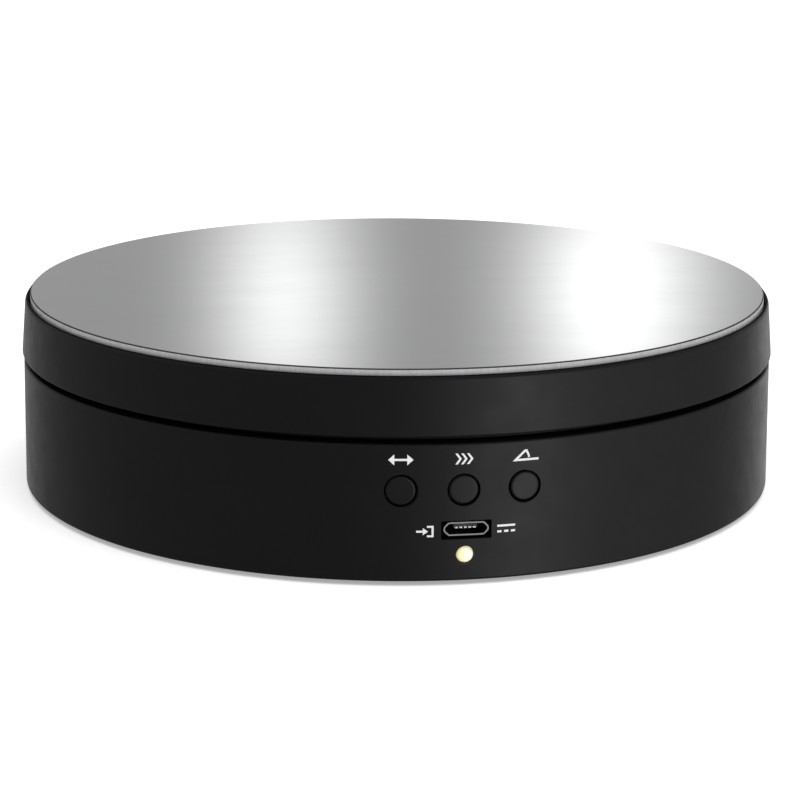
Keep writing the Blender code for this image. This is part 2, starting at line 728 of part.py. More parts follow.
# ---------------------------------------------------------------- base
def base_housing():
    """Wall and deck in one moulding, with a tower for the spindle's bush and posts for what hangs in it."""
    inner = CASE_RADIUS - WALL
    bore = BUSH_RADIUS + FIT_GAP / 2
    rib_inner, rib_outer, rib_top = RACE_RIB
    fence_inner, fence_outer, fence_top = FENCE
    profile = [
        (CASE_RADIUS, DECK_TOP_Z - CASE_BEVEL),
        (CASE_FOOT_RADIUS, CASE_BOTTOM_Z),
        (inner, CASE_BOTTOM_Z),
        (inner, DECK_UNDER_Z),
        (bore, DECK_UNDER_Z),
        (bore, TOWER_TOP_Z),
        (TOWER_RADIUS, TOWER_TOP_Z),
        (TOWER_RADIUS, DECK_TOP_Z),
        (rib_inner, DECK_TOP_Z),
        (rib_inner, rib_top),
        (rib_outer, rib_top),
        (rib_outer, DECK_TOP_Z),
        (fence_inner, DECK_TOP_Z),
        (fence_inner, fence_top),
        (fence_outer, fence_top),
        (fence_outer, DECK_TOP_Z),
        (CASE_RADIUS - CASE_BEVEL, DECK_TOP_Z),
    ]
    housing = turned("base_housing", profile, BLACK_ABS, segments=ROUND, ring=True)
    combine(housing, housing_posts(), "UNION")
    return combine(housing, housing_cuts(), "DIFFERENCE")


def housing_posts():
    """Posts for the case screws and the motor's ears, and bosses on the wall for the board."""
    under = DECK_UNDER_Z + OVER
    posts = []
    for i, angle in enumerate(POST_ANGLES):
        place = around(POST_CIRCLE, angle)
        posts.append(round_bar(f"case_post_{i}", POST_RADIUS, POST_BOTTOM_Z, under, BLACK_ABS, place, MEDIUM))
    spacer_bottom = EAR_TOP_Z + FIT_GAP
    wall_y = wall_face_y(CASE_RADIUS - WALL / 2, BOARD_SCREW_X)
    length = BOARD_FRONT_Y - FIT_GAP - wall_y
    for side in (-1, 1):
        ear = (side * EAR_SPREAD, MOTOR_Y)
        ear_post = (EAR_POST_RADIUS, spacer_bottom, EAR_POST_TOP_Z)
        posts.append(round_bar(f"ear_post_{side}", *ear_post, BLACK_ABS, ear, MEDIUM))
        middle = (side * BOARD_SCREW_X, wall_y + length / 2, BOARD_SCREW_Z)
        posts.append(bar_along_y(f"board_boss_{side}", BOARD_BOSS_RADIUS, length, middle, BLACK_ABS, MEDIUM))
    return posts


def housing_cuts():
    """Holes for the screws, the motor's boss, the buttons, the port and the status light."""
    cuts = []
    tip_z = COVER_TOP_Z + CASE_SCREW[3] + PILOT_TIP
    post_hole = (pilot_radius(CASE_SCREW), POST_BOTTOM_Z - REACH, tip_z)
    for i, angle in enumerate(POST_ANGLES):
        place = around(POST_CIRCLE, angle)
        cuts.append(round_bar(f"post_pilot_{i}", *post_hole, BLACK_ABS, place, TINY))
    radius, tip_z = pilot_radius(MOTOR_SCREW), MOTOR_FACE_Z + MOTOR_SCREW[3]
    length = 2 * BOARD_SCREW[3]
    for side in (-1, 1):
        ear = (side * EAR_SPREAD, MOTOR_Y)
        cuts.append(round_bar(f"ear_pilot_{side}", radius, EAR_TOP_Z - REACH, tip_z, BLACK_ABS, ear, TINY))
        middle = (side * BOARD_SCREW_X, BOARD_FRONT_Y, BOARD_SCREW_Z)
        board_hole = (pilot_radius(BOARD_SCREW), length, middle)
        cuts.append(bar_along_y(f"board_pilot_{side}", *board_hole, BLACK_ABS, TINY))
    for index, name in enumerate(BUTTON_NAMES):
        cuts.append(wall_hole(f"{name}_hole", BUTTON_HOLE, button_x(index), BUTTON_Z, SMALL))
    cuts.append(wall_hole("led_hole", LED_HOLE, LED_X, LED_Z, MEDIUM))
    low = (PORT_X - PORT_WIDTH / 2, -CASE_RADIUS - REACH, PORT_Z - PORT_HEIGHT / 2)
    high = (PORT_X + PORT_WIDTH / 2, -CASE_RADIUS + WALL + REACH, PORT_Z + PORT_HEIGHT / 2)
    cuts.append(block("port_cutout", low, high, BLACK_ABS))
    boss_hole = MOTOR_BOSS_RADIUS + FIT_GAP
    below, above = DECK_UNDER_Z - REACH, DECK_TOP_Z + REACH
    cuts.append(round_bar("shaft_hole", boss_hole, below, above, BLACK_ABS, (0, SHAFT_Y)))
    return cuts


def wall_hole(name, radius, x, z, segments):
    """A cutter along Y, through the front wall only."""
    middle = (x, -CASE_RADIUS + WALL / 2, z)
    return bar_along_y(name, radius, WALL + 2 * REACH, middle, BLACK_ABS, segments)


def spindle_bush():
    """Flanged brass bush in the tower, on which the platter's hub is centred."""
    bore = SPINDLE_RADIUS + FIT_GAP / 2
    flange_bottom = TOWER_TOP_Z + FIT_GAP
    flange_top = flange_bottom + BUSH_FLANGE_THICK
    sleeve_bottom = WASHER_BOTTOM_Z + WASHER_THICK + FIT_GAP
    profile = [
        (BUSH_FLANGE_RADIUS, flange_top),
        (BUSH_FLANGE_RADIUS, flange_bottom),
        (BUSH_RADIUS, flange_bottom),
        (BUSH_RADIUS, sleeve_bottom),
        (bore, sleeve_bottom),
        (bore, flange_top),
    ]
    return turned("spindle_bush", profile, BRASS, ring=True)


def thrust_washer():
    top = WASHER_BOTTOM_Z + WASHER_THICK
    profile = tube_profile(WASHER_RADIUS, SPINDLE_RADIUS + FIT_GAP / 2, WASHER_BOTTOM_Z, top)
    return turned("thrust_washer", profile, WHITE_POM, ring=True)


def bottom_cover():
    """Flat cover with pockets for the feet and a counterbored boss for each case screw."""
    profile = disc_profile(COVER_RADIUS, CASE_BOTTOM_Z, COVER_TOP_Z)
    cover = turned("bottom_cover", profile, BLACK_ABS, segments=ROUND)
    below, above = CASE_BOTTOM_Z - REACH, COVER_BOSS_TOP_Z + REACH
    boss_bottom = COVER_TOP_Z - OVER
    boss = (COVER_BOSS_RADIUS, boss_bottom, COVER_BOSS_TOP_Z)
    head_hole = (HEAD_HOLE_RADIUS, below, COVER_TOP_Z)
    screw_hole = (pilot_radius(CASE_SCREW), below, above)
    foot_pocket = (FOOT_RADIUS + FIT_GAP, below, FOOT_HEIGHT + FIT_GAP)
    bosses, cuts = [], []
    for i, angle in enumerate(POST_ANGLES):
        place = around(POST_CIRCLE, angle)
        bosses.append(round_bar(f"cover_boss_{i}", *boss, BLACK_ABS, place, MEDIUM))
        cuts.append(round_bar(f"head_hole_{i}", *head_hole, BLACK_ABS, place, MEDIUM))
        cuts.append(round_bar(f"screw_hole_{i}", *screw_hole, BLACK_ABS, place, TINY))
    for i, angle in enumerate(FOOT_ANGLES):
        place = around(FOOT_CIRCLE, angle)
        cuts.append(round_bar(f"foot_pocket_{i}", *foot_pocket, BLACK_ABS, place))
    combine(cover, bosses, "UNION")
    return combine(cover, cuts, "DIFFERENCE")


def rubber_feet():
    profile = [(0, FOOT_HEIGHT), (FOOT_RADIUS, FOOT_HEIGHT), (FOOT_RADIUS, FOOT_BEVEL)]
    profile += [(FOOT_RADIUS - FOOT_BEVEL, 0), (0, 0)]
    for i, angle in enumerate(FOOT_ANGLES):
        turned(f"rubber_foot_{i + 1}", profile, RUBBER, (*around(FOOT_CIRCLE, angle), 0))


def case_screws():
    for i, angle in enumerate(POST_ANGLES):
        screw(f"case_screw_{i + 1}", CASE_SCREW, (*around(POST_CIRCLE, angle), COVER_TOP_Z - HEAD_GAP), 180)


# ---------------------------------------------------------------- controls
def button_cap(name, x):
    """A cap whose face follows the wall, with a flange behind the wall and a stem to its switch."""
    flange_y = wall_face_y(CASE_RADIUS - WALL, abs(x) + BUTTON_FLANGE) + FIT_GAP
    stem_y = BOARD_FRONT_Y - PLUNGER_BACK - PLUNGER_LENGTH - FIT_GAP / 2
    flange_front = stem_y - flange_y
    flange_back = flange_front - BUTTON_FLANGE_THICK
    profile = [
        (0, CASE_RADIUS + REACH + stem_y),
        (BUTTON_RADIUS, CASE_RADIUS + REACH + stem_y),
        (BUTTON_RADIUS, flange_front),
        (BUTTON_FLANGE, flange_front),
        (BUTTON_FLANGE, flange_back),
        (PLUNGER_RADIUS, flange_back),
        (PLUNGER_RADIUS, 0),
        (0, 0),
    ]
    cap = face_front(turned(f"{name}_button", profile, BLACK_ABS, (x, stem_y, BUTTON_Z)))
    low, high = BUTTON_Z - 2 * BUTTON_FLANGE, BUTTON_Z + 2 * BUTTON_FLANGE
    face_radius = case_radius(BUTTON_Z) - BUTTON_SINK
    face = round_bar(f"{name}_face", face_radius, low, high, BLACK_ABS, segments=4 * ROUND)
    return combine(cap, [face], "INTERSECT")


def switch_body(name, x):
    half = SWITCH_SIDE / 2
    back_y = BOARD_FRONT_Y - FIT_GAP
    front_y = back_y - SWITCH_THICK
    low = (x - half, front_y, BUTTON_Z - half)
    body = block(f"{name}_switch_body", low, (x + half, back_y, BUTTON_Z + half), BLACK_RESIN)
    middle = (x, front_y, BUTTON_Z)
    well = bar_along_y(f"{name}_well", SWITCH_WELL_RADIUS, 2 * SWITCH_WELL_DEPTH, middle, BLACK_RESIN, MEDIUM)
    return combine(body, [well], "DIFFERENCE")


def switch_plunger(name, x):
    middle = (x, BOARD_FRONT_Y - PLUNGER_BACK - PLUNGER_LENGTH / 2, BUTTON_Z)
    return bar_along_y(f"{name}_switch_plunger", PLUNGER_RADIUS, PLUNGER_LENGTH, middle, WHITE_POM, MEDIUM)


def status_led():
    """A round lens with a domed end, and the flange that it stands on."""
    shoulder = LED_LENGTH - LED_RADIUS
    arc = [math.radians(a) for a in (80, 60, 40, 20, 0)]
    dome = [(LED_RADIUS * math.cos(a), shoulder + LED_RADIUS * math.sin(a)) for a in arc]
    profile = [(0, LED_LENGTH), *dome, (LED_RADIUS, LED_FLANGE_THICK)]
    profile += [(LED_FLANGE, LED_FLANGE_THICK), (LED_FLANGE, 0), (0, 0)]
    return face_front(turned("status_led", profile, CREAM_LENS, (LED_X, LED_BACK_Y, LED_Z), MEDIUM))


def led_spacer():
    front_y, back_y = LED_BACK_Y + FIT_GAP, BOARD_FRONT_Y - FIT_GAP
    middle = (LED_X, (front_y + back_y) / 2, LED_Z)
    return bar_along_y("led_spacer", LED_FLANGE, back_y - front_y, middle, BLACK_RESIN, MEDIUM)


# ---------------------------------------------------------------- board
def socket_outline(inset):
    """The mouth of a micro socket, with its four corners cut off at 45 degrees."""
    corner_shift = inset * math.tan(math.radians(22.5))
    top, side = SOCKET_HALF_HEIGHT - inset, SOCKET_HALF_WIDTH - inset
    flat, shoulder = SOCKET_FLAT_HALF_WIDTH - corner_shift, SOCKET_SHOULDER - corner_shift
    right = [(flat, -top), (side, -shoulder), (side, shoulder), (flat, top)]
    return right + [(-x, y) for x, y in reversed(right)]


def control_board():
    half = BOARD_WIDTH / 2
    high = (half, BOARD_FRONT_Y + BOARD_THICK, BOARD_TOP_Z)
    board = block("control_board", (-half, BOARD_FRONT_Y, BOARD_BOTTOM_Z), high, BOARD_GREEN)
    holes = []
    for side in (-1, 1):
        middle = (side * BOARD_SCREW_X, BOARD_FRONT_Y, BOARD_SCREW_Z)
        radius, length = pilot_radius(BOARD_SCREW), 4 * BOARD_THICK
        holes.append(bar_along_y(f"board_hole_{side}", radius, length, middle, BOARD_GREEN, TINY))
    return combine(board, holes, "DIFFERENCE")


def board_screws():
    seat_y = BOARD_FRONT_Y + BOARD_THICK + HEAD_GAP
    for i, side in enumerate((-1, 1)):
        screw(f"board_screw_{i + 1}", BOARD_SCREW, (side * BOARD_SCREW_X, seat_y, BOARD_SCREW_Z), -90)


def usb_socket_shell():
    outlines = [socket_outline(0), socket_outline(SOCKET_WALL)]
    shell = plate("usb_socket_shell", outlines, 0, SOCKET_LENGTH, STEEL)
    shell.location = (PORT_X, BOARD_FRONT_Y - FIT_GAP - SOCKET_LENGTH / 2, SOCKET_Z)
    return face_front(shell)


def usb_socket_tongue():
    """The socket's insulator: a block at the back of the shell, with the contact tongue on it."""
    outline = socket_outline(SOCKET_WALL + FIT_GAP / 2)
    base = plate("usb_socket_tongue", [outline], 0, INSULATOR_LENGTH, BLACK_RESIN)
    base.location = (PORT_X, BOARD_FRONT_Y - FIT_GAP - INSULATOR_LENGTH / 2, SOCKET_Z)
    base = meshed(face_front(base))
    tongue_back_y = BOARD_FRONT_Y - FIT_GAP - INSULATOR_LENGTH + OVER
    under_z = SOCKET_Z - TONGUE_DROP
    low = (PORT_X - TONGUE_WIDTH / 2, TONGUE_TIP_Y, under_z)
    high = (PORT_X + TONGUE_WIDTH / 2, tongue_back_y, under_z + TONGUE_THICK)
    tongue = block("socket_tongue", low, high, BLACK_RESIN)
    return combine(base, [tongue], "UNION")


def board_chips():
    """The motor driver, the microcontroller and the socket for the motor's lead, on the board's back."""
    back_y = BOARD_FRONT_Y + BOARD_THICK + FIT_GAP
    for name, x, width in (("motor_driver_chip", -0.0060, 0.0099), ("microcontroller", 0.0070, 0.0049)):
        low = (x - width / 2, back_y, CHIP_Z - CHIP_HEIGHT / 2)
        high = (x + width / 2, back_y + CHIP_THICK, CHIP_Z + CHIP_HEIGHT / 2)
        block(name, low, high, BLACK_RESIN)
    half_width, half_height = MOTOR_SOCKET_SIZE[0] / 2, MOTOR_SOCKET_SIZE[1] / 2
    front_y = PLUG_BACK_Y - PLUG_SIZE[1] - FIT_GAP
    low = (-half_width, back_y, PLUG_Z - half_height)
    block("motor_socket", low, (half_width, front_y, PLUG_Z + half_height), WHITE_POM)


# ---------------------------------------------------------------- assembly
def build_platter():
    """Everything that turns with the platter."""
    pieces = [mirror_disc(), mirror_tape(), platter_shell(), ring_gear(), spindle(), retaining_clip()]
    pieces.append(race("upper_race", PLATE_UNDER_Z - FIT_GAP, UPPER_RACE_BOTTOM_Z, 1))
    hang("platter_axis", (0, 0, 0), pieces + ring_gear_screws())


def build_controls():
    """The buttons, each hung on its own axis with its switch's plunger, and what they press."""
    for index, name in enumerate(BUTTON_NAMES):
        x = button_x(index)
        switch_body(name, x)
        hang(f"{name}_axis", (x, -CASE_RADIUS, BUTTON_Z), [button_cap(name, x), switch_plunger(name, x)])
    control_board()
    board_screws()
    board_chips()
    usb_socket_shell()
    usb_socket_tongue()
    status_led()
    led_spacer()


def build_base():
    base_housing()
    race("lower_race", DECK_TOP_Z + FIT_GAP, LOWER_RACE_TOP_Z, -1)
    spindle_bush()
    thrust_washer()
    bottom_cover()
    rubber_feet()
    case_screws()
    motor_can()
    motor_wire_cap()
    motor_screws()
    motor_lead()


build_platter()
hang("cage_axis", (0, 0, BALL_Z), [ball_cage(), *bearing_balls()])
hang("drive_axis", (0, SHAFT_Y, 0), [motor_shaft(), drive_pinion()])
build_controls()
build_base()
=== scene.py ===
"""The looks of a motorised turntable display stand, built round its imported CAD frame.

Metres, +Z up, the controls face -Y. Every visible piece stands for a CAD node, in the same place.
"""

from math import acos, asin, cos, exp, hypot, pi, radians, sin, sqrt, tan, tau

import bmesh
import bpy
from mathutils import Matrix, Vector


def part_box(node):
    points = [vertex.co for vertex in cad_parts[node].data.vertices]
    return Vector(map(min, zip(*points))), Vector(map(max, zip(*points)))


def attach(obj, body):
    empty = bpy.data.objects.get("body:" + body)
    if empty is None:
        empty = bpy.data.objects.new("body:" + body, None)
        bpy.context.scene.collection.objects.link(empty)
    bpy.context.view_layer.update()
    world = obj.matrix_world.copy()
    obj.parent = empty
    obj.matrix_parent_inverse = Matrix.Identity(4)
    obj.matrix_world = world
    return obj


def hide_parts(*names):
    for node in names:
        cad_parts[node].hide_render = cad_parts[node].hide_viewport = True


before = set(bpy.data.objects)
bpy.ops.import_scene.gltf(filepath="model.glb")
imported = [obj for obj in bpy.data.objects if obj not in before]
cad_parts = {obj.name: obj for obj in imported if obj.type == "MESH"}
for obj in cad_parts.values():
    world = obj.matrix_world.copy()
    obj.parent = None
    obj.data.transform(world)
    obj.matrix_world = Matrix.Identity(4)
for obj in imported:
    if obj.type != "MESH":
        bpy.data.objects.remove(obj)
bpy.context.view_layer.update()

# ---- sizes, mostly read from the frame
MIRROR_LOW, MIRROR_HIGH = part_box("mirror_disc")
PLATTER_LOW, PLATTER_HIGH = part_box("platter_shell")
CASE_LOW, CASE_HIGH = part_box("base_housing")
COVER_LOW, COVER_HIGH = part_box("bottom_cover")
BOARD_LOW, BOARD_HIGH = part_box("control_board")
MIRROR_RADIUS = MIRROR_HIGH.x
RIM_RADIUS = PLATTER_HIGH.x
CASE_FOOT_RADIUS = CASE_HIGH.x
CASE_RADIUS = CASE_FOOT_RADIUS - 0.0003  # at the top of its wall
CASE_INNER = COVER_HIGH.x + 0.0003
FIT_GAP = 0.0003
DECK_TOP_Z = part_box("lower_race")[0].z - FIT_GAP
DECK_UNDER_Z = DECK_TOP_Z - 0.0020
GEAR_FLANGE_TOP_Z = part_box("ring_gear")[0].z + 0.0022
PLATE_UNDER_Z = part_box("upper_race")[1].z + FIT_GAP
COVER_TOP_Z = COVER_LOW.z + 0.0022
SEGMENTS = 288  # round the large shells
ON_AXIS = 1e-7  # what is nearer than this is in the same place
PIN_PITCH = 0.0025  # of the motor's plug
BUTTON_NAMES = ("direction", "speed", "angle")


def wall_radius(z):
    """The radius of the case's wall at a height, as it widens a little towards the floor."""
    drop = (DECK_TOP_Z - z) / (DECK_TOP_Z - CASE_LOW.z)
    return CASE_RADIUS + (CASE_FOOT_RADIUS - CASE_RADIUS) * drop


def extent(node):
    """The lowest and the highest corner of a CAD node, and the middle between them."""
    low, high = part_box(node)
    return low, high, (low + high) / 2


def middle_of(node):
    return extent(node)[2]


def middles(node, count):
    """The middles of numbered nodes, such as the screws of one kind."""
    return [middle_of(f"{node}_{i + 1}") for i in range(count)]


# ---- mesh helpers
OUT_OF_WALL = Matrix.Rotation(radians(90), 4, "X")  # turns +Z to -Y, out through the front wall
INTO_CASE = Matrix.Rotation(radians(-90), 4, "X")  # turns +Z to +Y, in from the board's back


def finished(made, sharp=30):
    """A shape as a mesh with its faces outwards and only its real edges sharp. A mesh stays as it is."""
    if isinstance(made, bpy.types.Mesh):
        return made
    bmesh.ops.recalc_face_normals(made, faces=made.faces)
    mesh = bpy.data.meshes.new("finished")
    made.to_mesh(mesh)
    made.free()
    mesh.shade_smooth()
    mesh.set_sharp_from_angle(angle=radians(sharp))
    return mesh


def new_object(name, data):
    made = bpy.data.objects.new(name, data)
    bpy.context.scene.collection.objects.link(made)
    return made


def new_piece(name, made, look, body, node=None, edge=0.0):
    """Puts a shape or a mesh in the scene as a piece that rides on a body. An edge rounds its real edges."""
    mesh = finished(made)
    mesh.name = name
    piece = new_object(name, mesh)
    mesh.materials.append(look)
    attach(piece, body)
    if node:
        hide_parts(node)
    if edge:
        soften(piece, edge)
    return piece


def soften(piece, width, segments=2):
    edge = piece.modifiers.new("edge", "BEVEL")
    edge.width = width
    edge.segments = segments
    edge.limit_method = "ANGLE"
    edge.angle_limit = radians(40)


def even_shading(piece):
    """Keeps the shading of a large face even up to the small rounded edges of the holes in it."""
    weighted = piece.modifiers.new("even_shading", "WEIGHTED_NORMAL")
    weighted.keep_sharp = True


def rounded(corners, closed=True, steps=5):
    """A polyline whose corners given as (a, b, radius) are rounded, and whose others stay sharp."""
    points = []
    count = len(corners)
    for i, corner in enumerate(corners):
        here = Vector(corner[:2])
        radius = corner[2] if len(corner) > 2 else 0
        if not radius or (not closed and i in (0, count - 1)):
            points.append(tuple(here))
            continue
        back = (Vector(corners[i - 1][:2]) - here).normalized()
        ahead = (Vector(corners[(i + 1) % count][:2]) - here).normalized()
        half = back.angle(ahead) / 2
        centre = here + (back + ahead).normalized() * radius / sin(half)
        start = here + back * radius / tan(half) - centre
        turn = start.angle_signed(here + ahead * radius / tan(half) - centre)
        for step in range(steps + 1):
            angle = -turn * step / steps
            cosine, sine = cos(angle), sin(angle)
            x, y = start.x * cosine - start.y * sine, start.x * sine + start.y * cosine
            points.append((centre.x + x, centre.y + y))
    return points


def lathe(profile, segments=SEGMENTS, ring=True, swell=None):
    """A closed profile of (radius, height) turned about Z, or an open one that starts and ends on Z."""
    shape = bmesh.new()
    turns = [tau * i / segments for i in range(segments)]
    rows = []
    for radius, height in profile:
        if radius < ON_AXIS:
            rows.append([shape.verts.new((0, 0, height))] * segments)
            continue
        reach = [swell(a, radius, height) if swell else radius for a in turns]
        rows.append([shape.verts.new((r * cos(a), r * sin(a), height)) for a, r in zip(turns, reach)])
    pairs = list(zip(rows, rows[1:]))
    if ring:
        pairs.append((rows[-1], rows[0]))
    for above, below in pairs:
        for i in range(segments):
            j = (i + 1) % segments
            corners = dict.fromkeys((above[i], below[i], below[j], above[j]))
            if len(corners) > 2:
                shape.faces.new(corners)
    return shape


def turned(corners, segments=SEGMENTS, steps=5):
    """A solid body with rounded corners, turned about Z."""
    return lathe(rounded(corners, closed=False, steps=steps), segments, ring=False)


def tube(outer, inner, bottom, top, segments, edge=0.0002):
    corners = [(outer, top, edge), (outer, bottom, edge), (inner, bottom, edge), (inner, top, edge)]
    return lathe(rounded(corners, steps=3), segments)


def bar(radius, bottom, top, segments=48, flare=0.0):
    """An upright bar. A flare widens its top end, for a cutter that leaves a rounded edge."""
    if not flare:
        return lathe([(0, top), (radius, top), (radius, bottom), (0, bottom)], segments, ring=False)
    curve = [radians(a) for a in range(0, 91, 15)]
    mouth = [(radius + flare * (1 - cos(a)), top - flare * (1 - sin(a))) for a in reversed(curve)]
    beyond = [(0, top + 0.002), (radius + flare, top + 0.002)]
    return lathe(beyond + mouth + [(radius, bottom), (0, bottom)], segments, ring=False)


def circle(radius, count, x=0.0, y=0.0):
    turns = [tau * i / count for i in range(count)]
    return [(x + radius * cos(a), y + radius * sin(a)) for a in turns]


def rectangle(half_width, half_height, corner, x=0.0, y=0.0):
    """A rectangle with rounded corners."""
    signs = ((1, -1), (1, 1), (-1, 1), (-1, -1))
    return rounded([(x + half_width * sx, y + half_height * sy, corner) for sx, sy in signs], steps=4)


def prism(outlines, bottom, top):
    """Flat outlines, the first with the others as holes in it, extruded between two heights."""
    curve = bpy.data.curves.new("outline", "CURVE")
    curve.dimensions = "2D"
    curve.fill_mode = "BOTH"
    curve.extrude = (top - bottom) / 2
    for outline in outlines:
        spline = curve.splines.new("POLY")
        spline.points.add(len(outline) - 1)
        spline.use_cyclic_u = True
        for point, (x, y) in zip(spline.points, outline):
            point.co = (x, y, 0, 1)
    holder = new_object("outline", curve)
    bpy.context.view_layer.update()
    mesh = bpy.data.meshes.new_from_object(holder.evaluated_get(bpy.context.evaluated_depsgraph_get()))
    bpy.data.objects.remove(holder)
    shape = bmesh.new()
    shape.from_mesh(mesh)
    bpy.data.meshes.remove(mesh)
    bmesh.ops.remove_doubles(shape, verts=shape.verts, dist=ON_AXIS)
    bmesh.ops.translate(shape, vec=(0, 0, (top + bottom) / 2), verts=shape.verts)
    return shape


def box(low, high):
    shape = bmesh.new()
    low, high = Vector(low), Vector(high)
    bmesh.ops.create_cube(shape, size=1)
    bmesh.ops.scale(shape, vec=high - low, verts=shape.verts)
    bmesh.ops.translate(shape, vec=(low + high) / 2, verts=shape.verts)
    return shape


def merged(shapes):
    """Several closed shapes in one, such as the bodies of one cutter."""
    target = bmesh.new()
    for shape in shapes:
        mesh = bpy.data.meshes.new("part")
        bmesh.ops.recalc_face_normals(shape, faces=shape.faces)
        shape.to_mesh(mesh)
        shape.free()
        target.from_mesh(mesh)
        bpy.data.meshes.remove(mesh)
    return target


def moved(shape, matrix):
    bmesh.ops.transform(shape, matrix=matrix, verts=shape.verts)
    return shape


def placed(shape, x=0.0, y=0.0, z=0.0):
    return moved(shape, Matrix.Translation((x, y, z)))


def outward(shape, x=0.0, y=0.0, z=0.0):
    """A shape whose +Z is turned out of the front wall, put in its place."""
    return placed(moved(shape, OUT_OF_WALL), x, y, z)


def inward(shape, x=0.0, y=0.0, z=0.0):
    """A shape whose +Z is turned into the case, put in its place."""
    return placed(moved(shape, INTO_CASE), x, y, z)


def bar_at(place, radius, bottom, top):
    return placed(bar(radius, bottom, top), place.x, place.y)


def boxes_round(count, low, high, phase=0.0):
    """Copies of a box spread evenly about Z."""
    turns = [tau * (i + phase) / count for i in range(count)]
    return [moved(box(low, high), Matrix.Rotation(turn, 4, "Z")) for turn in turns]


def boolean(made, shape, operation="DIFFERENCE", sharp=30):
    """A shape or a mesh with another shape cut from it or joined to it, exactly."""
    mesh = finished(made, sharp)
    body = new_object("body", mesh)
    tool_mesh = bpy.data.meshes.new("tool")
    bmesh.ops.recalc_face_normals(shape, faces=shape.faces)
    shape.to_mesh(tool_mesh)
    shape.free()
    tool = new_object("tool", tool_mesh)
    modifier = body.modifiers.new("boolean", "BOOLEAN")
    modifier.operation = operation
    modifier.object = tool
    bpy.context.view_layer.update()
    result = bpy.data.meshes.new_from_object(body.evaluated_get(bpy.context.evaluated_depsgraph_get()))
    for obj in (body, tool):
        bpy.data.objects.remove(obj)
    for used in (mesh, tool_mesh):
        bpy.data.meshes.remove(used)
    result.shade_smooth()
    result.set_sharp_from_angle(angle=radians(sharp))
    return result


def steps_between(start, end, count):
    return [start + (end - start) * i / (count - 1) for i in range(count)]


# ---- materials
def new_material(name):
    made = bpy.data.materials.new(name)
    made.use_nodes = True
    tree = made.node_tree
    return made, tree, tree.nodes["Principled BSDF"]


def add_node(tree, kind, settings=None, inputs=None):
    node = tree.nodes.new(kind)
    for key, value in (settings or {}).items():
        setattr(node, key, value)
    for key, value in (inputs or {}).items():
        node.inputs[key].default_value = value
    return node


def math_node(tree, operation, *values):
    """A Math node whose inputs are sockets or numbers."""
    node = add_node(tree, "ShaderNodeMath", {"operation": operation})
    for socket, value in zip(node.inputs, values):
        if isinstance(value, (int, float)):
            socket.default_value = value
        else:
            tree.links.new(value, socket)
    return node.outputs[0]


def noise(tree, scale, detail=2.0, roughness=0.5, stretch=None):
    """Noise in the object's own coordinates, with a scale in cycles per metre."""
    place = add_node(tree, "ShaderNodeTexCoord").outputs["Object"]
    if stretch:
        mapping = add_node(tree, "ShaderNodeMapping", inputs={"Scale": stretch})
        tree.links.new(place, mapping.inputs["Vector"])
        place = mapping.outputs["Vector"]
    inputs = {"Scale": scale, "Detail": detail, "Roughness": roughness}
    made = add_node(tree, "ShaderNodeTexNoise", inputs=inputs)
    tree.links.new(place, made.inputs["Vector"])
    return made.outputs["Fac"]


def ramp(tree, factor, low, high, start=0.0, end=1.0):
    """A factor mapped to between two colours or two values."""
    if isinstance(low, tuple):
        node = add_node(tree, "ShaderNodeMix", {"data_type": "RGBA"})
        node.inputs[6].default_value, node.inputs[7].default_value = (*low, 1), (*high, 1)
        stretched = add_node(tree, "ShaderNodeMapRange", inputs={"From Min": start, "From Max": end})
        tree.links.new(factor, stretched.inputs["Value"])
        tree.links.new(stretched.outputs["Result"], node.inputs["Factor"])
        return node.outputs[2]
    inputs = {"From Min": start, "From Max": end, "To Min": low, "To Max": high}
    node = add_node(tree, "ShaderNodeMapRange", inputs=inputs)
    tree.links.new(factor, node.inputs["Value"])
    return node.outputs["Result"]


def drive(tree, shader, socket, factor, low, high, start=0.3, end=0.7):
    """Lets a factor set one of the shader's sockets, between two colours or two values."""
    tree.links.new(ramp(tree, factor, low, high, start, end), shader.inputs[socket])


def bump(tree, shader, factor, depth):
    node = add_node(tree, "ShaderNodeBump", inputs={"Strength": 1.0, "Distance": depth})
    tree.links.new(factor, node.inputs["Height"])
    tree.links.new(node.outputs["Normal"], shader.inputs["Normal"])


def moulded_plastic(name, colour, roughness, grain=0.000004, grain_scale=5200, variation=0.12, gloss=0.5):
    """Plastic with the fine even grain of a spark-eroded mould, and slight changes of tone and gloss."""
    made, tree, shader = new_material(name)
    broad = noise(tree, 55, 3)
    darker = tuple(c * (1 - variation) for c in colour)
    lighter = tuple(c * (1 + variation) for c in colour)
    drive(tree, shader, "Base Color", broad, darker, lighter)
    sheen = noise(tree, 240, 4, 0.6)
    drive(tree, shader, "Roughness", sheen, roughness - 0.035, roughness + 0.035)
    bump(tree, shader, noise(tree, grain_scale, 3, 0.55), grain)
    shader.inputs["Specular IOR Level"].default_value = gloss
    return made


def metal(name, colour, roughness, stretch=None, scale=900, depth=0.000003):
    """Metal with fine tool marks, which run along an axis if the noise is stretched."""
    made, tree, shader = new_material(name)
    marks = noise(tree, scale, 4, 0.6, stretch)
    dull = tuple(c * 0.88 for c in colour)
    drive(tree, shader, "Base Color", marks, dull, colour)
    drive(tree, shader, "Roughness", marks, roughness * 0.8, roughness * 1.25)
    bump(tree, shader, marks, depth)
    shader.inputs["Metallic"].default_value = 1.0
    return made


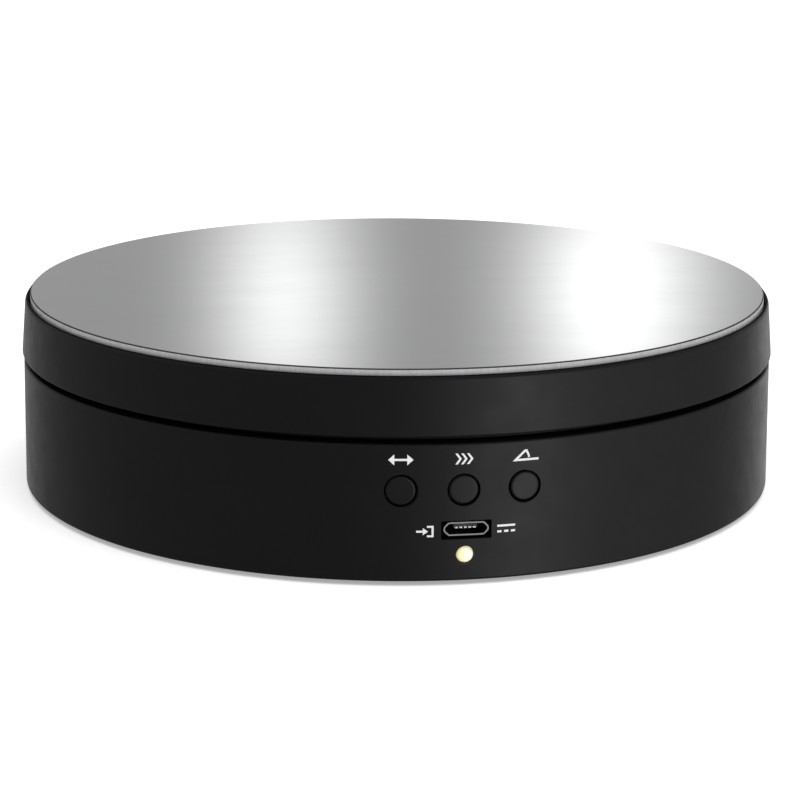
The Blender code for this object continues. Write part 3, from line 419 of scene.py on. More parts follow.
def mirror_face(name):
    """Silvered mirror: nearly perfect, with the faintest haze where it has been wiped."""
    made, tree, shader = new_material(name)
    haze = noise(tree, 34, 5, 0.62, (1.0, 2.4, 1.0))
    drive(tree, shader, "Roughness", haze, 0.035, 0.075, 0.35, 0.75)
    drive(tree, shader, "Base Color", haze, (0.86, 0.865, 0.87), (0.83, 0.835, 0.84), 0.35, 0.75)
    shader.inputs["Metallic"].default_value = 1.0
    return made


def ground_edge(name, colour, roughness):
    """The ground side of the mirror plate, with the fine upright marks that the wheel leaves."""
    made, tree, shader = new_material(name)
    marks = noise(tree, 2600, 3, 0.6, (1.0, 1.0, 0.12))
    dull = tuple(c * 0.8 for c in colour)
    drive(tree, shader, "Base Color", marks, dull, colour)
    shader.inputs["Roughness"].default_value = roughness
    bump(tree, shader, marks, 0.00001)
    return made


def screen_print(name):
    """White ink, a little uneven at the scale of a printing mesh."""
    made, tree, shader = new_material(name)
    weave = noise(tree, 7000, 2, 0.5)
    drive(tree, shader, "Base Color", weave, (0.70, 0.71, 0.72), (0.79, 0.795, 0.80))
    bump(tree, shader, weave, 0.000006)
    shader.inputs["Roughness"].default_value = 0.55
    return made


def lit_lens(name):
    """Diffused lens lit from inside, yellower on its left and whiter on its right, a painted highlight, whose
    light fades out behind the wall's face.
    """
    made, tree, shader = new_material(name)
    lens = middle_of("status_led")
    place = add_node(tree, "ShaderNodeSeparateXYZ")
    tree.links.new(add_node(tree, "ShaderNodeTexCoord").outputs["Object"], place.inputs[0])
    cloud = noise(tree, 420, 2, 0.5)
    # Painted highlight: the glow and the lens's colour turn whiter towards its right side, on top of an
    # uneven cloud.
    across = ramp(tree, place.outputs["X"], 0.0, 1.0, lens.x - 0.0012, lens.x + 0.0010)
    cloud_and_painted_highlight = math_node(tree, "MULTIPLY_ADD", cloud, 0.5, math_node(tree, "ADD", across, -0.25))
    drive(tree, shader, "Emission Color", cloud_and_painted_highlight, (1.0, 0.87, 0.38), (1.0, 0.96, 0.80), 0, 1)
    drive(tree, shader, "Base Color", cloud_and_painted_highlight, (0.66, 0.62, 0.40), (0.72, 0.70, 0.56), 0, 1)
    face_y = -wall_radius(lens.z)
    drive(tree, shader, "Emission Strength", place.outputs["Y"], 0.5, 0.0, face_y + 0.0008, face_y + 0.0013)
    shader.inputs["Roughness"].default_value = 0.22
    return made


def rubber(name, colour):
    made, tree, shader = new_material(name)
    grain = noise(tree, 3000, 4, 0.6)
    dusty = tuple(c * 1.9 + 0.004 for c in colour)
    drive(tree, shader, "Base Color", noise(tree, 130, 4, 0.6), colour, dusty, 0.45, 0.8)
    bump(tree, shader, grain, 0.00002)
    shader.inputs["Roughness"].default_value = 0.82
    return made


BLACK_ABS = moulded_plastic("black_abs_look", (0.0034, 0.0034, 0.0036), 0.42, gloss=0.24)
MATT_ABS = moulded_plastic("matt_abs_look", (0.0036, 0.0036, 0.0038), 0.6, gloss=0.04)
BUTTON_ABS = moulded_plastic("button_abs_look", (0.0042, 0.0042, 0.0044), 0.38, 0.0000025, gloss=0.25)
MIRROR_FACE = mirror_face("mirror_face_look")
MIRROR_SIDE = ground_edge("mirror_side_look", (0.50, 0.503, 0.51), 0.5)
# Painted dark reflection: the mirror's polished top arris is coloured near-black instead of mirroring the
# room.
MIRROR_ARRIS_PAINTED_DARK = ground_edge("mirror_arris_painted_reflection_look", (0.02, 0.021, 0.022), 0.5)
PRINT = screen_print("white_print_look")
STEEL = metal("steel_look", (0.56, 0.56, 0.57), 0.26)
TURNED_STEEL = metal("turned_steel_look", (0.60, 0.60, 0.61), 0.2, (1.0, 1.0, 9.0))
ZINC = metal("zinc_look", (0.56, 0.565, 0.55), 0.34, scale=1600)
BRASS = metal("brass_look", (0.72, 0.52, 0.23), 0.26, (1.0, 1.0, 9.0))
TINNED_STEEL = metal("tinned_steel_look", (0.25, 0.25, 0.255), 0.36)
POM = moulded_plastic("white_acetal_look", (0.80, 0.79, 0.74), 0.36, 0.000003, 3000, 0.03)
BLUE_NYLON = moulded_plastic("blue_nylon_look", (0.035, 0.14, 0.50), 0.4, 0.000004, 3000, 0.08)
RESIN = moulded_plastic("black_resin_look", (0.016, 0.016, 0.017), 0.5, 0.000004, 6000, 0.1)
TAPE = moulded_plastic("foam_tape_look", (0.80, 0.79, 0.75), 0.85, 0.00003, 2200, 0.05)
BOARD = moulded_plastic("solder_mask_look", (0.015, 0.14, 0.055), 0.24, 0.000004, 900, 0.3)
PAPER_WHITE = moulded_plastic("legend_ink_look", (0.74, 0.75, 0.74), 0.6, 0.000004, 4000, 0.04)
CERAMIC = moulded_plastic("ceramic_look", (0.30, 0.20, 0.12), 0.45, 0.000004, 4000, 0.12)
WIRE_COLOURS = (
    ("orange", (0.80, 0.20, 0.02)),
    ("yellow", (0.80, 0.58, 0.03)),
    ("pink", (0.76, 0.25, 0.30)),
    ("blue", (0.03, 0.12, 0.52)),
    ("red", (0.60, 0.03, 0.02)),
)
WIRES = [moulded_plastic(f"{name}_wire_look", hue, 0.42, 0.000003, 2000, 0.06) for name, hue in WIRE_COLOURS]
RUBBER = rubber("rubber_look", (0.017, 0.017, 0.018))
LENS = lit_lens("lit_lens_look")


# ---- mirror
def build_mirror():
    """A mirror plate whose top, arris and ground side have a look each; the arris is painted near-black, a
    painted dark reflection of its polished bevel.
    """
    top, bottom, bevel = MIRROR_HIGH.z, MIRROR_LOW.z, 0.00022
    profile = [(MIRROR_RADIUS * share, top) for share in (0, 0.35, 0.7)]
    profile += [(MIRROR_RADIUS - bevel, top), (MIRROR_RADIUS, top - bevel)]
    profile += [(MIRROR_RADIUS, bottom + bevel / 2), (MIRROR_RADIUS - bevel / 2, bottom), (0, bottom)]
    mesh = finished(lathe(profile, ring=False), 25)
    new_piece("mirror_plate", mesh, MIRROR_FACE, "platter", "mirror_disc")
    mesh.materials.append(MIRROR_ARRIS_PAINTED_DARK)
    mesh.materials.append(MIRROR_SIDE)
    for face in mesh.polygons:
        outward_share = hypot(face.normal.x, face.normal.y)
        if outward_share > 0.9 or face.normal.z < -0.5:
            face.material_index = 2
        # The top arris takes the near-black look, a painted dark reflection.
        elif outward_share > 0.3:
            face.material_index = 1


# ---- platter
def build_platter():
    """A lip round the mirror, a ribbed skirt, a hub for the axle and bosses for the gear's screws."""
    top, bottom = PLATTER_HIGH.z, PLATTER_LOW.z
    lip_inner, seat_z = MIRROR_RADIUS + FIT_GAP, MIRROR_LOW.z - 0.0010
    lip_outer, shoulder_radius, skirt_inner = 0.0719, 0.0722, 0.0707
    hub_radius, hub_low = 0.0090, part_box("spindle_bush")[1].z + 0.0004
    bore, bore_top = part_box("spindle")[1].x + FIT_GAP / 2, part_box("spindle")[1].z + FIT_GAP
    profile = [
        (lip_inner, seat_z),
        (lip_inner, top, 0.00012),
        (lip_outer, top, 0.0003),
        (shoulder_radius, top - 0.0006, 0.0006),
        (RIM_RADIUS, bottom, 0.0004),
        (skirt_inner, bottom, 0.0002),
        (skirt_inner, PLATE_UNDER_Z, 0.0005),
        (hub_radius, PLATE_UNDER_Z, 0.0006),
        (hub_radius, hub_low, 0.0003),
        (bore, hub_low, 0.0002),
        (bore, bore_top),
        (0, bore_top),
    ]
    shape = lathe([(0, seat_z)] + rounded(profile, closed=False, steps=6), ring=False)
    screws = middles("ring_gear_screw", 3)
    boss, pilot, rib_half, rib_inner, rib_depth = 0.0029, 0.0013, 0.0005, 0.0645, 0.0032
    bosses = [bar_at(screw, boss, GEAR_FLANGE_TOP_Z + FIT_GAP, PLATE_UNDER_Z + 0.0005) for screw in screws]
    rib_high = (skirt_inner + 0.0005, rib_half, PLATE_UNDER_Z + 0.0004)
    bosses += boxes_round(24, (rib_inner, -rib_half, PLATE_UNDER_Z - rib_depth), rib_high)
    pilots = [bar_at(screw, pilot, GEAR_FLANGE_TOP_Z - 0.002, PLATE_UNDER_Z) for screw in screws]
    mesh = boolean(boolean(shape, merged(bosses), "UNION"), merged(pilots))
    new_piece("platter_body", mesh, BLACK_ABS, "platter", "platter_shell")
    mesh.materials.append(MATT_ABS)
    for face in mesh.polygons:
        if face.center.z > top - 0.0003 and face.normal.z > 0.5:
            face.material_index = 1


# ---- base
def build_case():
    """Wall and deck in one moulding, with its posts and bosses inside, and holes for the controls."""
    bore, tower, tower_top = 0.0060 + FIT_GAP / 2, 0.0096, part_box("spindle_bush")[1].z - 0.0013
    seat_inner, seat_outer, seat_top = 0.0540, 0.0556, 0.0264
    dam_inner, dam_outer = 0.0683, 0.0698
    profile = [
        (CASE_RADIUS, DECK_TOP_Z, 0.00045),
        (CASE_FOOT_RADIUS, CASE_LOW.z, 0.0005),
        (CASE_INNER, CASE_LOW.z, 0.0003),
        (CASE_INNER, DECK_UNDER_Z, 0.0008),
        (bore, DECK_UNDER_Z, 0.0003),
        (bore, tower_top, 0.0002),
        (tower, tower_top, 0.0004),
        (tower, DECK_TOP_Z, 0.0004),
        (seat_inner, DECK_TOP_Z, 0.0003),
        (seat_inner, seat_top, 0.0003),
        (seat_outer, seat_top, 0.0003),
        (seat_outer, DECK_TOP_Z, 0.0002),
        (dam_inner, DECK_TOP_Z, 0.0003),
        (dam_inner, CASE_HIGH.z, 0.0003),
        (dam_outer, CASE_HIGH.z, 0.0003),
        (dam_outer, DECK_TOP_Z, 0.0003),
    ]
    mesh = boolean(lathe(rounded(profile, steps=4)), merged(case_posts()), "UNION")
    mesh = boolean(mesh, merged(case_cuts()))
    even_shading(new_piece("case_body", mesh, BLACK_ABS, "base", "base_housing"))


def case_posts():
    """The posts under the deck and the bosses behind the front wall, for the screws to go into."""
    case_post, motor_post, board_boss, boss_depth = 0.00375, 0.0034, 0.0028, 0.0072
    bottom, top = COVER_HIGH.z + FIT_GAP, DECK_UNDER_Z + 0.0005
    motor_post_low, motor_post_high = 0.0225, 0.0285
    posts = [bar_at(screw, case_post, bottom, top) for screw in middles("case_screw", 4)]
    for motor, board in zip(middles("motor_screw", 2), middles("board_screw", 2)):
        posts.append(bar_at(motor, motor_post, motor_post_low, motor_post_high))
        posts.append(outward(bar(board_boss, 0, boss_depth), board.x, BOARD_LOW.y - FIT_GAP, board.z))
    return posts


def case_cuts():
    """The screws' pilot holes, and openings for the buttons, the lamp, the socket and the motor's shaft."""
    pilot, board_pilot, pilot_reach, wall_reach = 0.0017, 0.00145, 0.0065, 0.0040
    button_hole, lamp_hole, shaft_hole, port_half = 0.00285, 0.00165, 0.0048, (0.0044, 0.00165)
    cuts = [bar_at(screw, pilot, 0.0020, 0.0133) for screw in middles("case_screw", 4)]
    for motor, board in zip(middles("motor_screw", 2), middles("board_screw", 2)):
        cuts.append(bar_at(motor, pilot, 0.0190, 0.0276))
        cuts.append(outward(bar(board_pilot, -pilot_reach, pilot_reach), board.x, BOARD_LOW.y, board.z))
    for name in BUTTON_NAMES:
        button = middle_of(f"{name}_button")
        face_y = -sqrt(wall_radius(button.z) ** 2 - button.x**2)
        cuts.append(outward(bar(button_hole, -wall_reach, 0, 72, 0.00016), button.x, face_y, button.z))
    lens = middle_of("status_led")
    cuts.append(outward(bar(lamp_hole, -wall_reach, 0, 48, 0.00012), lens.x, -wall_radius(lens.z), lens.z))
    socket = middle_of("usb_socket_shell")
    window = prism([rectangle(*port_half, 0.0002)], -0.0050, 0.0030)
    cuts.append(outward(window, socket.x, -CASE_RADIUS, socket.z - 0.0001))
    cuts.append(bar_at(middle_of("motor_shaft"), shaft_hole, DECK_UNDER_Z - 0.002, DECK_TOP_Z + 0.002))
    return cuts


def build_buttons():
    """Caps whose faces follow the wall, with a rounded edge, a flange and a stem."""
    radius, sink, flange, stem = 0.00264, 0.0001, 0.0036, 0.0017
    for name in BUTTON_NAMES:
        low, high, middle = extent(f"{name}_button")
        depth = high.y
        front = -low.y + depth
        face_radius = wall_radius(middle.z) - sink
        flange_front = sqrt(CASE_INNER**2 - (abs(middle.x) + flange) ** 2) - FIT_GAP + depth
        flange_back = flange_front - 0.0010
        corners = [(0.0021, front), (radius, front, 0.00044), (radius, flange_front)]
        corners += [(flange, flange_front, 0.0001), (flange, flange_back, 0.0001)]
        corners += [(stem, flange_back), (stem, 0, 0.0002), (0, 0)]
        face = [(0.0026 * share, front) for share in (0, 0.2, 0.4, 0.6, 0.8)]
        cap = lathe(face + rounded(corners, closed=False), 72, ring=False)
        shape = outward(cap, middle.x, depth, middle.z)
        for vert in shape.verts:
            if vert.co.y < -front + depth + 0.0008:
                vert.co.y += -sqrt(face_radius**2 - vert.co.x**2) - low.y
        new_piece(f"{name}_cap", shape, BUTTON_ABS, f"{name}_key", f"{name}_button")


# ---- port and light
def socket_outline(inset):
    """The socket's mouth, with its four corners cut off and rounded."""
    shift = inset * tan(radians(22.5))
    top, side, flat, shoulder = 0.0012 - inset, 0.00395 - inset, 0.0031 - shift, 0.00035 - shift
    turn, side_turn = 0.0005 - inset, 0.0007 - inset
    right = [(flat, -top, turn), (side, -shoulder, side_turn), (side, shoulder, side_turn), (flat, top, turn)]
    return rounded(right + [(-x, y, turn) for x, y, turn in reversed(right)])


def build_port():
    """The socket's rolled shell, the tongue inside it and five contacts."""
    low, high, middle = extent("usb_socket_shell")
    shape = prism([socket_outline(0), socket_outline(0.00026)], 0, high.y - low.y)
    shape = outward(shape, middle.x, high.y, middle.z)
    soften(new_piece("socket_shell", shape, TINNED_STEEL, "base", "usb_socket_shell"), 0.00012, 3)
    low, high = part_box("usb_socket_tongue")
    back = outward(prism([socket_outline(0.00045)], 0, 0.0040), middle.x, high.y, middle.z)
    under = middle.z - 0.00005
    tongue = box((middle.x - 0.00205, low.y, under), (middle.x + 0.00205, high.y - 0.0035, under + 0.0006))
    mesh = boolean(back, tongue, "UNION")
    new_piece("socket_tongue", mesh, RESIN, "base", "usb_socket_tongue", 0.00006)
    contacts, contact_pitch = [], 0.00078
    for i in range(5):
        x = middle.x + (i - 2) * contact_pitch
        strip = (0.00021, low.y - 0.00004, high.y - 0.0040, 0.00002)
        tip = (0.00024, low.y - 0.00008, low.y + 0.00001, 0.00018)
        for half, front, back, rise in (strip, tip):
            contacts.append(box((x - half, front, under - 0.00008), (x + half, back, under + rise)))
    new_piece("socket_contacts", merged(contacts), STEEL, "base")


def build_light():
    """A diffused lens with a domed end and a flange."""
    low, high, middle = extent("status_led")
    length, radius, dome_height, flange = high.y - low.y, 0.0015, 0.0008, 0.0019
    arc = [radians(a) for a in range(84, -1, -6)]
    dome = [(radius * cos(a), length - dome_height + dome_height * sin(a)) for a in arc]
    foot = [(radius, 0.0010), (0.00186, 0.00095), (flange, 0.0009), (flange, 0), (0, 0)]
    shape = outward(lathe([(0, length)] + dome + foot, 64, ring=False), middle.x, high.y, middle.z)
    new_piece("light_lens", finished(shape, 40), LENS, "base", "status_led")


# ---- printed symbols
def on_wall(radius, across, height, proud):
    """The point on a round wall at this distance along it from its middle, and this far off it."""
    angle = across / radius
    return Vector(((radius + proud) * sin(angle), -(radius + proud) * cos(angle), height))


INK_BACK, INK_FRONT = -0.00001, 0.00003  # from the wall's face
PRINT_STEP = 0.00035  # the longest edge in the ink, so that it follows the wall


def printed(name, outlines, across, height):
    """Flat outlines in millimetres, printed on the wall as a thin skin of ink."""
    in_metres = [[(x / 1000, y / 1000) for x, y in outline] for outline in outlines]
    shape = merged([prism([outline], INK_BACK, INK_FRONT) for outline in in_metres])
    bmesh.ops.triangulate(shape, faces=shape.faces)
    for _ in range(3):
        long_edges = [edge for edge in shape.edges if edge.calc_length() > PRINT_STEP]
        bmesh.ops.subdivide_edges(shape, edges=long_edges, cuts=1)
        bmesh.ops.triangulate(shape, faces=shape.faces)
    for vert in shape.verts:
        z = height + vert.co.y
        vert.co = on_wall(wall_radius(z), across + vert.co.x, z, vert.co.z)
    new_piece(name, shape, PRINT, "base")


def shifted(outline, dx):
    return [(x + dx, y) for x, y in outline]


def build_prints():
    label_z, port_z, label_x = 0.0225, 0.0098, 0.01085
    arrow = [(-2.15, 0), (-1.1, 0.95), (-1.1, 0.19), (1.1, 0.19), (1.1, 0.95)]
    printed("print_direction", [arrow + [(-x, -y) for x, y in arrow]], -label_x, label_z)
    chevron = [(0, 0.95), (0.42, 0.95), (1.12, 0), (0.42, -0.95), (0, -0.95), (0.70, 0)]
    printed("print_speed", [shifted(chevron, dx) for dx in (-1.55, -0.55, 0.45)], 0, label_z)
    left, base, thick, slant = -2.35, -0.95, 0.38, radians(42)
    reach, rise = 4.7, 1.95
    inner_x = left + thick * (1 + cos(slant)) / sin(slant)
    angle_sign = [(left + reach, base), (left + reach, base + thick), (inner_x, base + thick)]
    angle_sign.append((inner_x + (rise - thick) / tan(slant), base + rise))
    angle_sign += [(left + rise / tan(slant), base + rise), (left, base)]
    swing = [radians(a) for a in range(11, 36, 3)]
    outer = [(left + 3.2 * cos(a), base + 3.2 * sin(a)) for a in swing]
    inner = [(left + 2.86 * cos(a), base + 2.86 * sin(a)) for a in reversed(swing)]
    printed("print_angle", [angle_sign, outer + inner], label_x, label_z)
    shaft = [(-1.5, 0.17), (-0.35, 0.17), (-0.35, 0.62), (0.55, 0)]
    shaft += [(-0.35, -0.62), (-0.35, -0.17), (-1.5, -0.17)]
    bracket = [(0.35, 1.0), (1.5, 1.0), (1.5, -1.0), (0.35, -1.0)]
    bracket += [(0.35, -0.68), (1.15, -0.68), (1.15, 0.68), (0.35, 0.68)]
    printed("print_power_in", [shaft, bracket], -0.0067, port_z)
    line = [(-1.6, 0.32), (-1.6, 0.68), (1.6, 0.68), (1.6, 0.32)]
    dash = [(-0.38, -0.68), (-0.38, -0.32), (0.38, -0.32), (0.38, -0.68)]
    printed("print_direct_current", [line] + [shifted(dash, dx) for dx in (-1.22, 0, 1.22)], 0.0075, port_z)


# ---- cover and feet
def build_cover():
    """The bottom cover: a shallow ring pressed into it, pockets for the feet and sunk screw holes."""
    bottom, groove_z = COVER_LOW.z, COVER_LOW.z + 0.0003
    corners = [(0, COVER_TOP_Z), (COVER_HIGH.x, COVER_TOP_Z, 0.0002), (COVER_HIGH.x, bottom, 0.0003)]
    corners += [(0.0500, bottom, 0.0001), (0.0497, groove_z, 0.0001), (0.0380, groove_z, 0.0001)]
    corners += [(0.0377, bottom, 0.0001), (0, bottom)]
    turned_over = Matrix.Rotation(pi, 4, "X")
    boss, head_hole, shank_hole, foot_pocket, pocket_top = 0.0050, 0.0033, 0.0018, 0.0063, 0.0023
    bosses, sunk, drilled = [], [], []
    for screw, foot in zip(middles("case_screw", 4), middles("rubber_foot", 4)):
        bosses.append(bar_at(screw, boss, COVER_TOP_Z - 0.0005, COVER_HIGH.z))
        hole = moved(bar(head_hole, -COVER_TOP_Z, -bottom, 48, 0.0003), turned_over)
        sunk.append(placed(hole, screw.x, screw.y))
        pocket = moved(bar(foot_pocket, -pocket_top, -bottom, 72, 0.0002), turned_over)
        sunk.append(placed(pocket, foot.x, foot.y))
        drilled.append(bar_at(screw, shank_hole, 0.0028, 0.0070))
    mesh = boolean(turned(corners, steps=3), merged(bosses), "UNION")
    mesh = boolean(boolean(mesh, merged(sunk)), merged(drilled))
    even_shading(new_piece("cover_plate", mesh, BLACK_ABS, "base", "bottom_cover"))


def build_feet():
    """Soft feet with a rounded edge and a shallow dished face."""
    for i in range(4):
        low, high, middle = extent(f"rubber_foot_{i + 1}")
        radius, top, dish = (high.x - low.x) / 2, high.z, 0.00025
        corners = [(0, top), (radius, top, 0.0002), (radius, 0, 0.0006), (radius * 0.72, 0, 0.0001)]
        corners += [(radius * 0.68, dish, 0.0001), (0, dish)]
        foot = placed(turned(corners, 72), middle.x, middle.y)
        new_piece(f"foot_{i + 1}", foot, RUBBER, "base", f"rubber_foot_{i + 1}")


# ---- screws
# node, how many, body, points up or out, head radius, head height, shank radius
SCREWS = (
    ("case_screw", 4, "base", True, 0.0028, 0.0016, 0.0014),
    ("motor_screw", 2, "base", True, 0.0027, 0.0013, 0.0014),
    ("board_screw", 2, "base", False, 0.0022, 0.0012, 0.00115),
    ("ring_gear_screw", 3, "platter", True, 0.0021, 0.0010, 0.0010),
)
THREAD_PITCH = 0.0008
THREAD_STEPS = 6  # rows of vertices to each turn of a thread


def screw_shape(head_radius, head_height, shank, length):
    """A pan-head screw pointing up, with its crossed recess at the bottom and a thread up to its tip."""
    head = [(0, 0), (head_radius, 0, head_height * 0.7), (head_radius, head_height, 0.0001)]
    head.append((shank, head_height))
    rows = int((length - head_height) / THREAD_PITCH * THREAD_STEPS)
    taper = 2 * shank
    profile = rounded(head, closed=False)
    for i in range(1, rows + 1):
        height = head_height + (length - head_height) * i / rows
        profile.append((shank * min(1.0, 0.35 + (length - height) / taper), height))
    profile.append((0, length))

    def thread(angle, radius, height):
        if height <= head_height + 0.0001:
            return radius
        wave = abs(2 * ((height / THREAD_PITCH - angle / tau) % 1) - 1)
        return radius * (1 - 0.24 * wave)

    shape = lathe(profile, 24, ring=False, swell=thread)
    arm, width = head_radius * 0.62, head_radius * 0.14
    cross = []
    for quarter in range(4):
        turn = Matrix.Rotation(quarter * pi / 2, 2)
        cross += [tuple(turn @ Vector(corner)) for corner in ((arm, -width), (arm, width), (width, width))]
    return shape, prism([cross], -0.0005, head_height * 0.6)


def build_screws():
    for node, count, body, upward, *sizes in SCREWS:
        for i in range(count):
            low, high, middle = extent(f"{node}_{i + 1}")
            shape, recess = screw_shape(*sizes, high.z - low.z if upward else high.y - low.y)
            mesh = boolean(shape, recess, sharp=40)
            if upward:
                mesh.transform(Matrix.Translation((middle.x, middle.y, low.z)))
            else:
                mesh.transform(Matrix.Translation((middle.x, high.y, middle.z)) @ OUT_OF_WALL)
            new_piece(f"{node}_made_{i + 1}", mesh, ZINC, body, f"{node}_{i + 1}")


# ---- bearing and spindle
BALL_CIRCLE = 0.0600
TRACK_RADIUS = 0.0024


def race(flat_z, track_z, ball_z):
    """A ring with a flat back and a round track that faces the balls."""
    side = 1 if flat_z > ball_z else -1
    reach = acos(abs(ball_z - track_z) / TRACK_RADIUS)
    turns = [reach * i / 8 for i in range(8, -9, -1)]
    track = [(BALL_CIRCLE + TRACK_RADIUS * sin(a), ball_z + side * TRACK_RADIUS * cos(a)) for a in turns]
    inner, outer, edge = BALL_CIRCLE - 0.0040, BALL_CIRCLE + 0.0040, 0.0003
    corners = [(inner, track_z, edge), (inner, flat_z, edge), (outer, flat_z, edge), (outer, track_z, edge)]
    return lathe(rounded(corners + track), 192)


def build_bearing():
    """Two races with round tracks, ten balls, and the slotted cage that keeps them apart."""
    low, high, middle = extent("bearing_ball_01")
    radius, ball_z = (high.z - low.z) / 2, middle.z
    low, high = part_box("lower_race")
    new_piece("race_below", race(low.z, high.z, ball_z), TURNED_STEEL, "base", "lower_race")
    low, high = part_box("upper_race")
    new_piece("race_above", race(high.z, low.z, ball_z), TURNED_STEEL, "platter", "upper_race")
    half_circle = [(radius * sin(a), radius * cos(a)) for a in steps_between(0, pi, 25)]
    under, over = ball_z - 0.002, ball_z + 0.002
    pockets = []
    for i in range(10):
        node = f"bearing_ball_{i + 1:02d}"
        place = middle_of(node)
        ball = placed(lathe(half_circle, 48, ring=False), *place)
        new_piece(f"ball_{i + 1:02d}", ball, STEEL, "ball_cage", node)
        pockets.append(bar_at(place, 0.0023, under, over))
        turn = tau * (i + 0.5) / 10
        slot = moved(prism([rectangle(0.0010, 0.0042, 0.0008)], under, over), Matrix.Rotation(turn, 4, "Z"))
        pockets.append(placed(slot, BALL_CIRCLE * cos(turn), BALL_CIRCLE * sin(turn)))
    low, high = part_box("ball_cage")
    mesh = boolean(tube(high.x, BALL_CIRCLE - 0.0035, low.z, high.z, 192, 0.0003), merged(pockets))
    new_piece("cage_ring", mesh, POM, "ball_cage", "ball_cage")


def build_spindle():
    """The grooved axle, its flanged bush, the washer under that and the three-pronged clip in the groove."""
    low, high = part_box("spindle")
    clip_low, clip_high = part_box("retaining_clip")
    radius, groove, gap = high.x, 0.0032, FIT_GAP / 2
    corners = [(0, high.z), (radius, high.z, 0.0003), (radius, clip_high.z + gap, 0.0001)]
    corners += [(groove, clip_high.z + gap), (groove, clip_low.z - gap), (radius, clip_low.z - gap, 0.0001)]
    corners += [(radius, low.z, 0.0005), (0, low.z)]
    new_piece("axle", turned(corners, 96), TURNED_STEEL, "platter", "spindle")
    low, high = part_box("spindle_bush")
    bore, sleeve, flange_low = radius + gap, 0.0060, high.z - 0.0010
    corners = [(high.x, high.z, 0.0002), (high.x, flange_low, 0.0002), (sleeve, flange_low)]
    corners += [(sleeve, low.z, 0.0004), (bore, low.z, 0.0003), (bore, high.z, 0.0003)]
    new_piece("bush", lathe(rounded(corners), 96), BRASS, "base", "spindle_bush")
    low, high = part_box("thrust_washer")
    new_piece("washer", tube(high.x, bore, low.z, high.z, 96), POM, "base", "thrust_washer")
    opening, clip_radius, prong_reach = radians(38), 0.0065, groove + FIT_GAP
    turns = [opening + (tau - 2 * opening) * i / 72 for i in range(73)]
    outline = [(clip_radius * cos(a), clip_radius * sin(a)) for a in turns]
    for a in reversed(turns):
        off_prong = min(abs(a - radians(prong)) for prong in (48, 180, 312)) / radians(14)
        reach = prong_reach if off_prong < 1 else min(radius + 0.0008, prong_reach + (off_prong - 1) * 0.006)
        outline.append((reach * cos(a), reach * sin(a)))
    clip = prism([outline], clip_low.z, clip_high.z)
    new_piece("clip", clip, STEEL, "platter", "retaining_clip", 0.00006)


# ---- gears
PRESSURE_ANGLE = radians(20)
MODULE = 0.00125
BACKLASH = 0.00022


def gear_outline(teeth, radii, thickening):
    """An external gear's outline, with a tooth on +Y and a point of its involute flanks at each radius."""
    pitch = MODULE * teeth / 2

    def involute(angle):
        return tan(angle) - angle

    def half_angle(radius):
        at_radius = acos(min(1.0, pitch * cos(PRESSURE_ANGLE) / radius))
        at_pitch = pi / (2 * teeth) + thickening / (2 * pitch)
        return at_pitch + involute(PRESSURE_ANGLE) - involute(at_radius)

    points = []
    flank = [(radius, half_angle(radius)) for radius in radii]
    for tooth in range(teeth):
        middle = pi / 2 + tau * tooth / teeth
        turns = [(radius, middle - half) for radius, half in flank]
        turns += [(radius, middle + half) for radius, half in reversed(flank)]
        points += [(radius * cos(a), radius * sin(a)) for radius, a in turns]
    return points


def build_ring_gear():
    """The internal gear under the platter, with its flange, ribs and screw holes."""
    low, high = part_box("ring_gear")
    pitch, rim, flange_top = MODULE * 68 / 2, 0.0470, GEAR_FLANGE_TOP_Z
    gaps = gear_outline(68, steps_between(pitch - 0.0007, pitch + 0.00125, 6), BACKLASH)
    flange = tube(high.x, rim - 0.0010, flange_top - 0.0020, flange_top, 192, 0.0003)
    mesh = boolean(prism([circle(rim, 192), gaps], low.z, high.z), flange, "UNION")
    rib_low = (rim - 0.0005, -0.0006, flange_top - 0.0005)
    ribs = boxes_round(18, rib_low, (rim + 0.0018, 0.0006, high.z - 0.0012))
    mesh = boolean(mesh, merged(ribs), "UNION")
    holes = [bar_at(at, 0.0013, low.z - 0.001, flange_top + 0.001) for at in middles("ring_gear_screw", 3)]
    mesh = boolean(mesh, merged(holes))
    new_piece("internal_gear", mesh, POM, "platter", "ring_gear")


def build_pinion():
    """The pinion, and the motor's shaft with the two flats that it sits on."""
    low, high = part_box("drive_pinion")
    shaft = middle_of("motor_shaft")
    shaft_radius, flat, pitch = 0.0025, 0.0015, MODULE * 12 / 2
    flank = [pitch - 0.0012] + steps_between(pitch * cos(PRESSURE_ANGLE) + 0.0001, pitch + 0.0010, 5)
    radius, half = shaft_radius + FIT_GAP / 2, flat + FIT_GAP / 2
    limit = asin(half / radius)
    bow = [(radius * sin(a), radius * cos(a)) for a in steps_between(-limit, limit, 9)]
    hole = bow + [(-x, -y) for x, y in bow]
    shape = placed(prism([gear_outline(12, flank, -BACKLASH), hole], low.z, high.z), shaft.x, shaft.y)
    new_piece("pinion", shape, POM, "drive", "drive_pinion", 0.00008)
    flat_foot = low.z - 0.0006
    low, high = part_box("motor_shaft")
    corners = [(0, high.z), (shaft_radius, high.z, 0.0003), (shaft_radius, low.z, 0.0003), (0, low.z)]
    sides = [sorted((side * flat, side * 0.0050)) for side in (-1, 1)]
    flats = [box((near, -0.005, flat_foot), (far, 0.005, high.z + 0.001)) for near, far in sides]
    mesh = boolean(turned(corners, 72), merged(flats))
    mesh.transform(Matrix.Translation((shaft.x, shaft.y, 0)))
    new_piece("output_shaft", mesh, TURNED_STEEL, "drive", "motor_shaft")


# ---- motor and its lead
LEAD_EXIT_Z = 0.0085
LEAD_LOW_Z = 0.0046
LEAD_BEND = 0.0100
WIRE_PITCH = 0.00124
WIRE_RADIUS = 0.00055


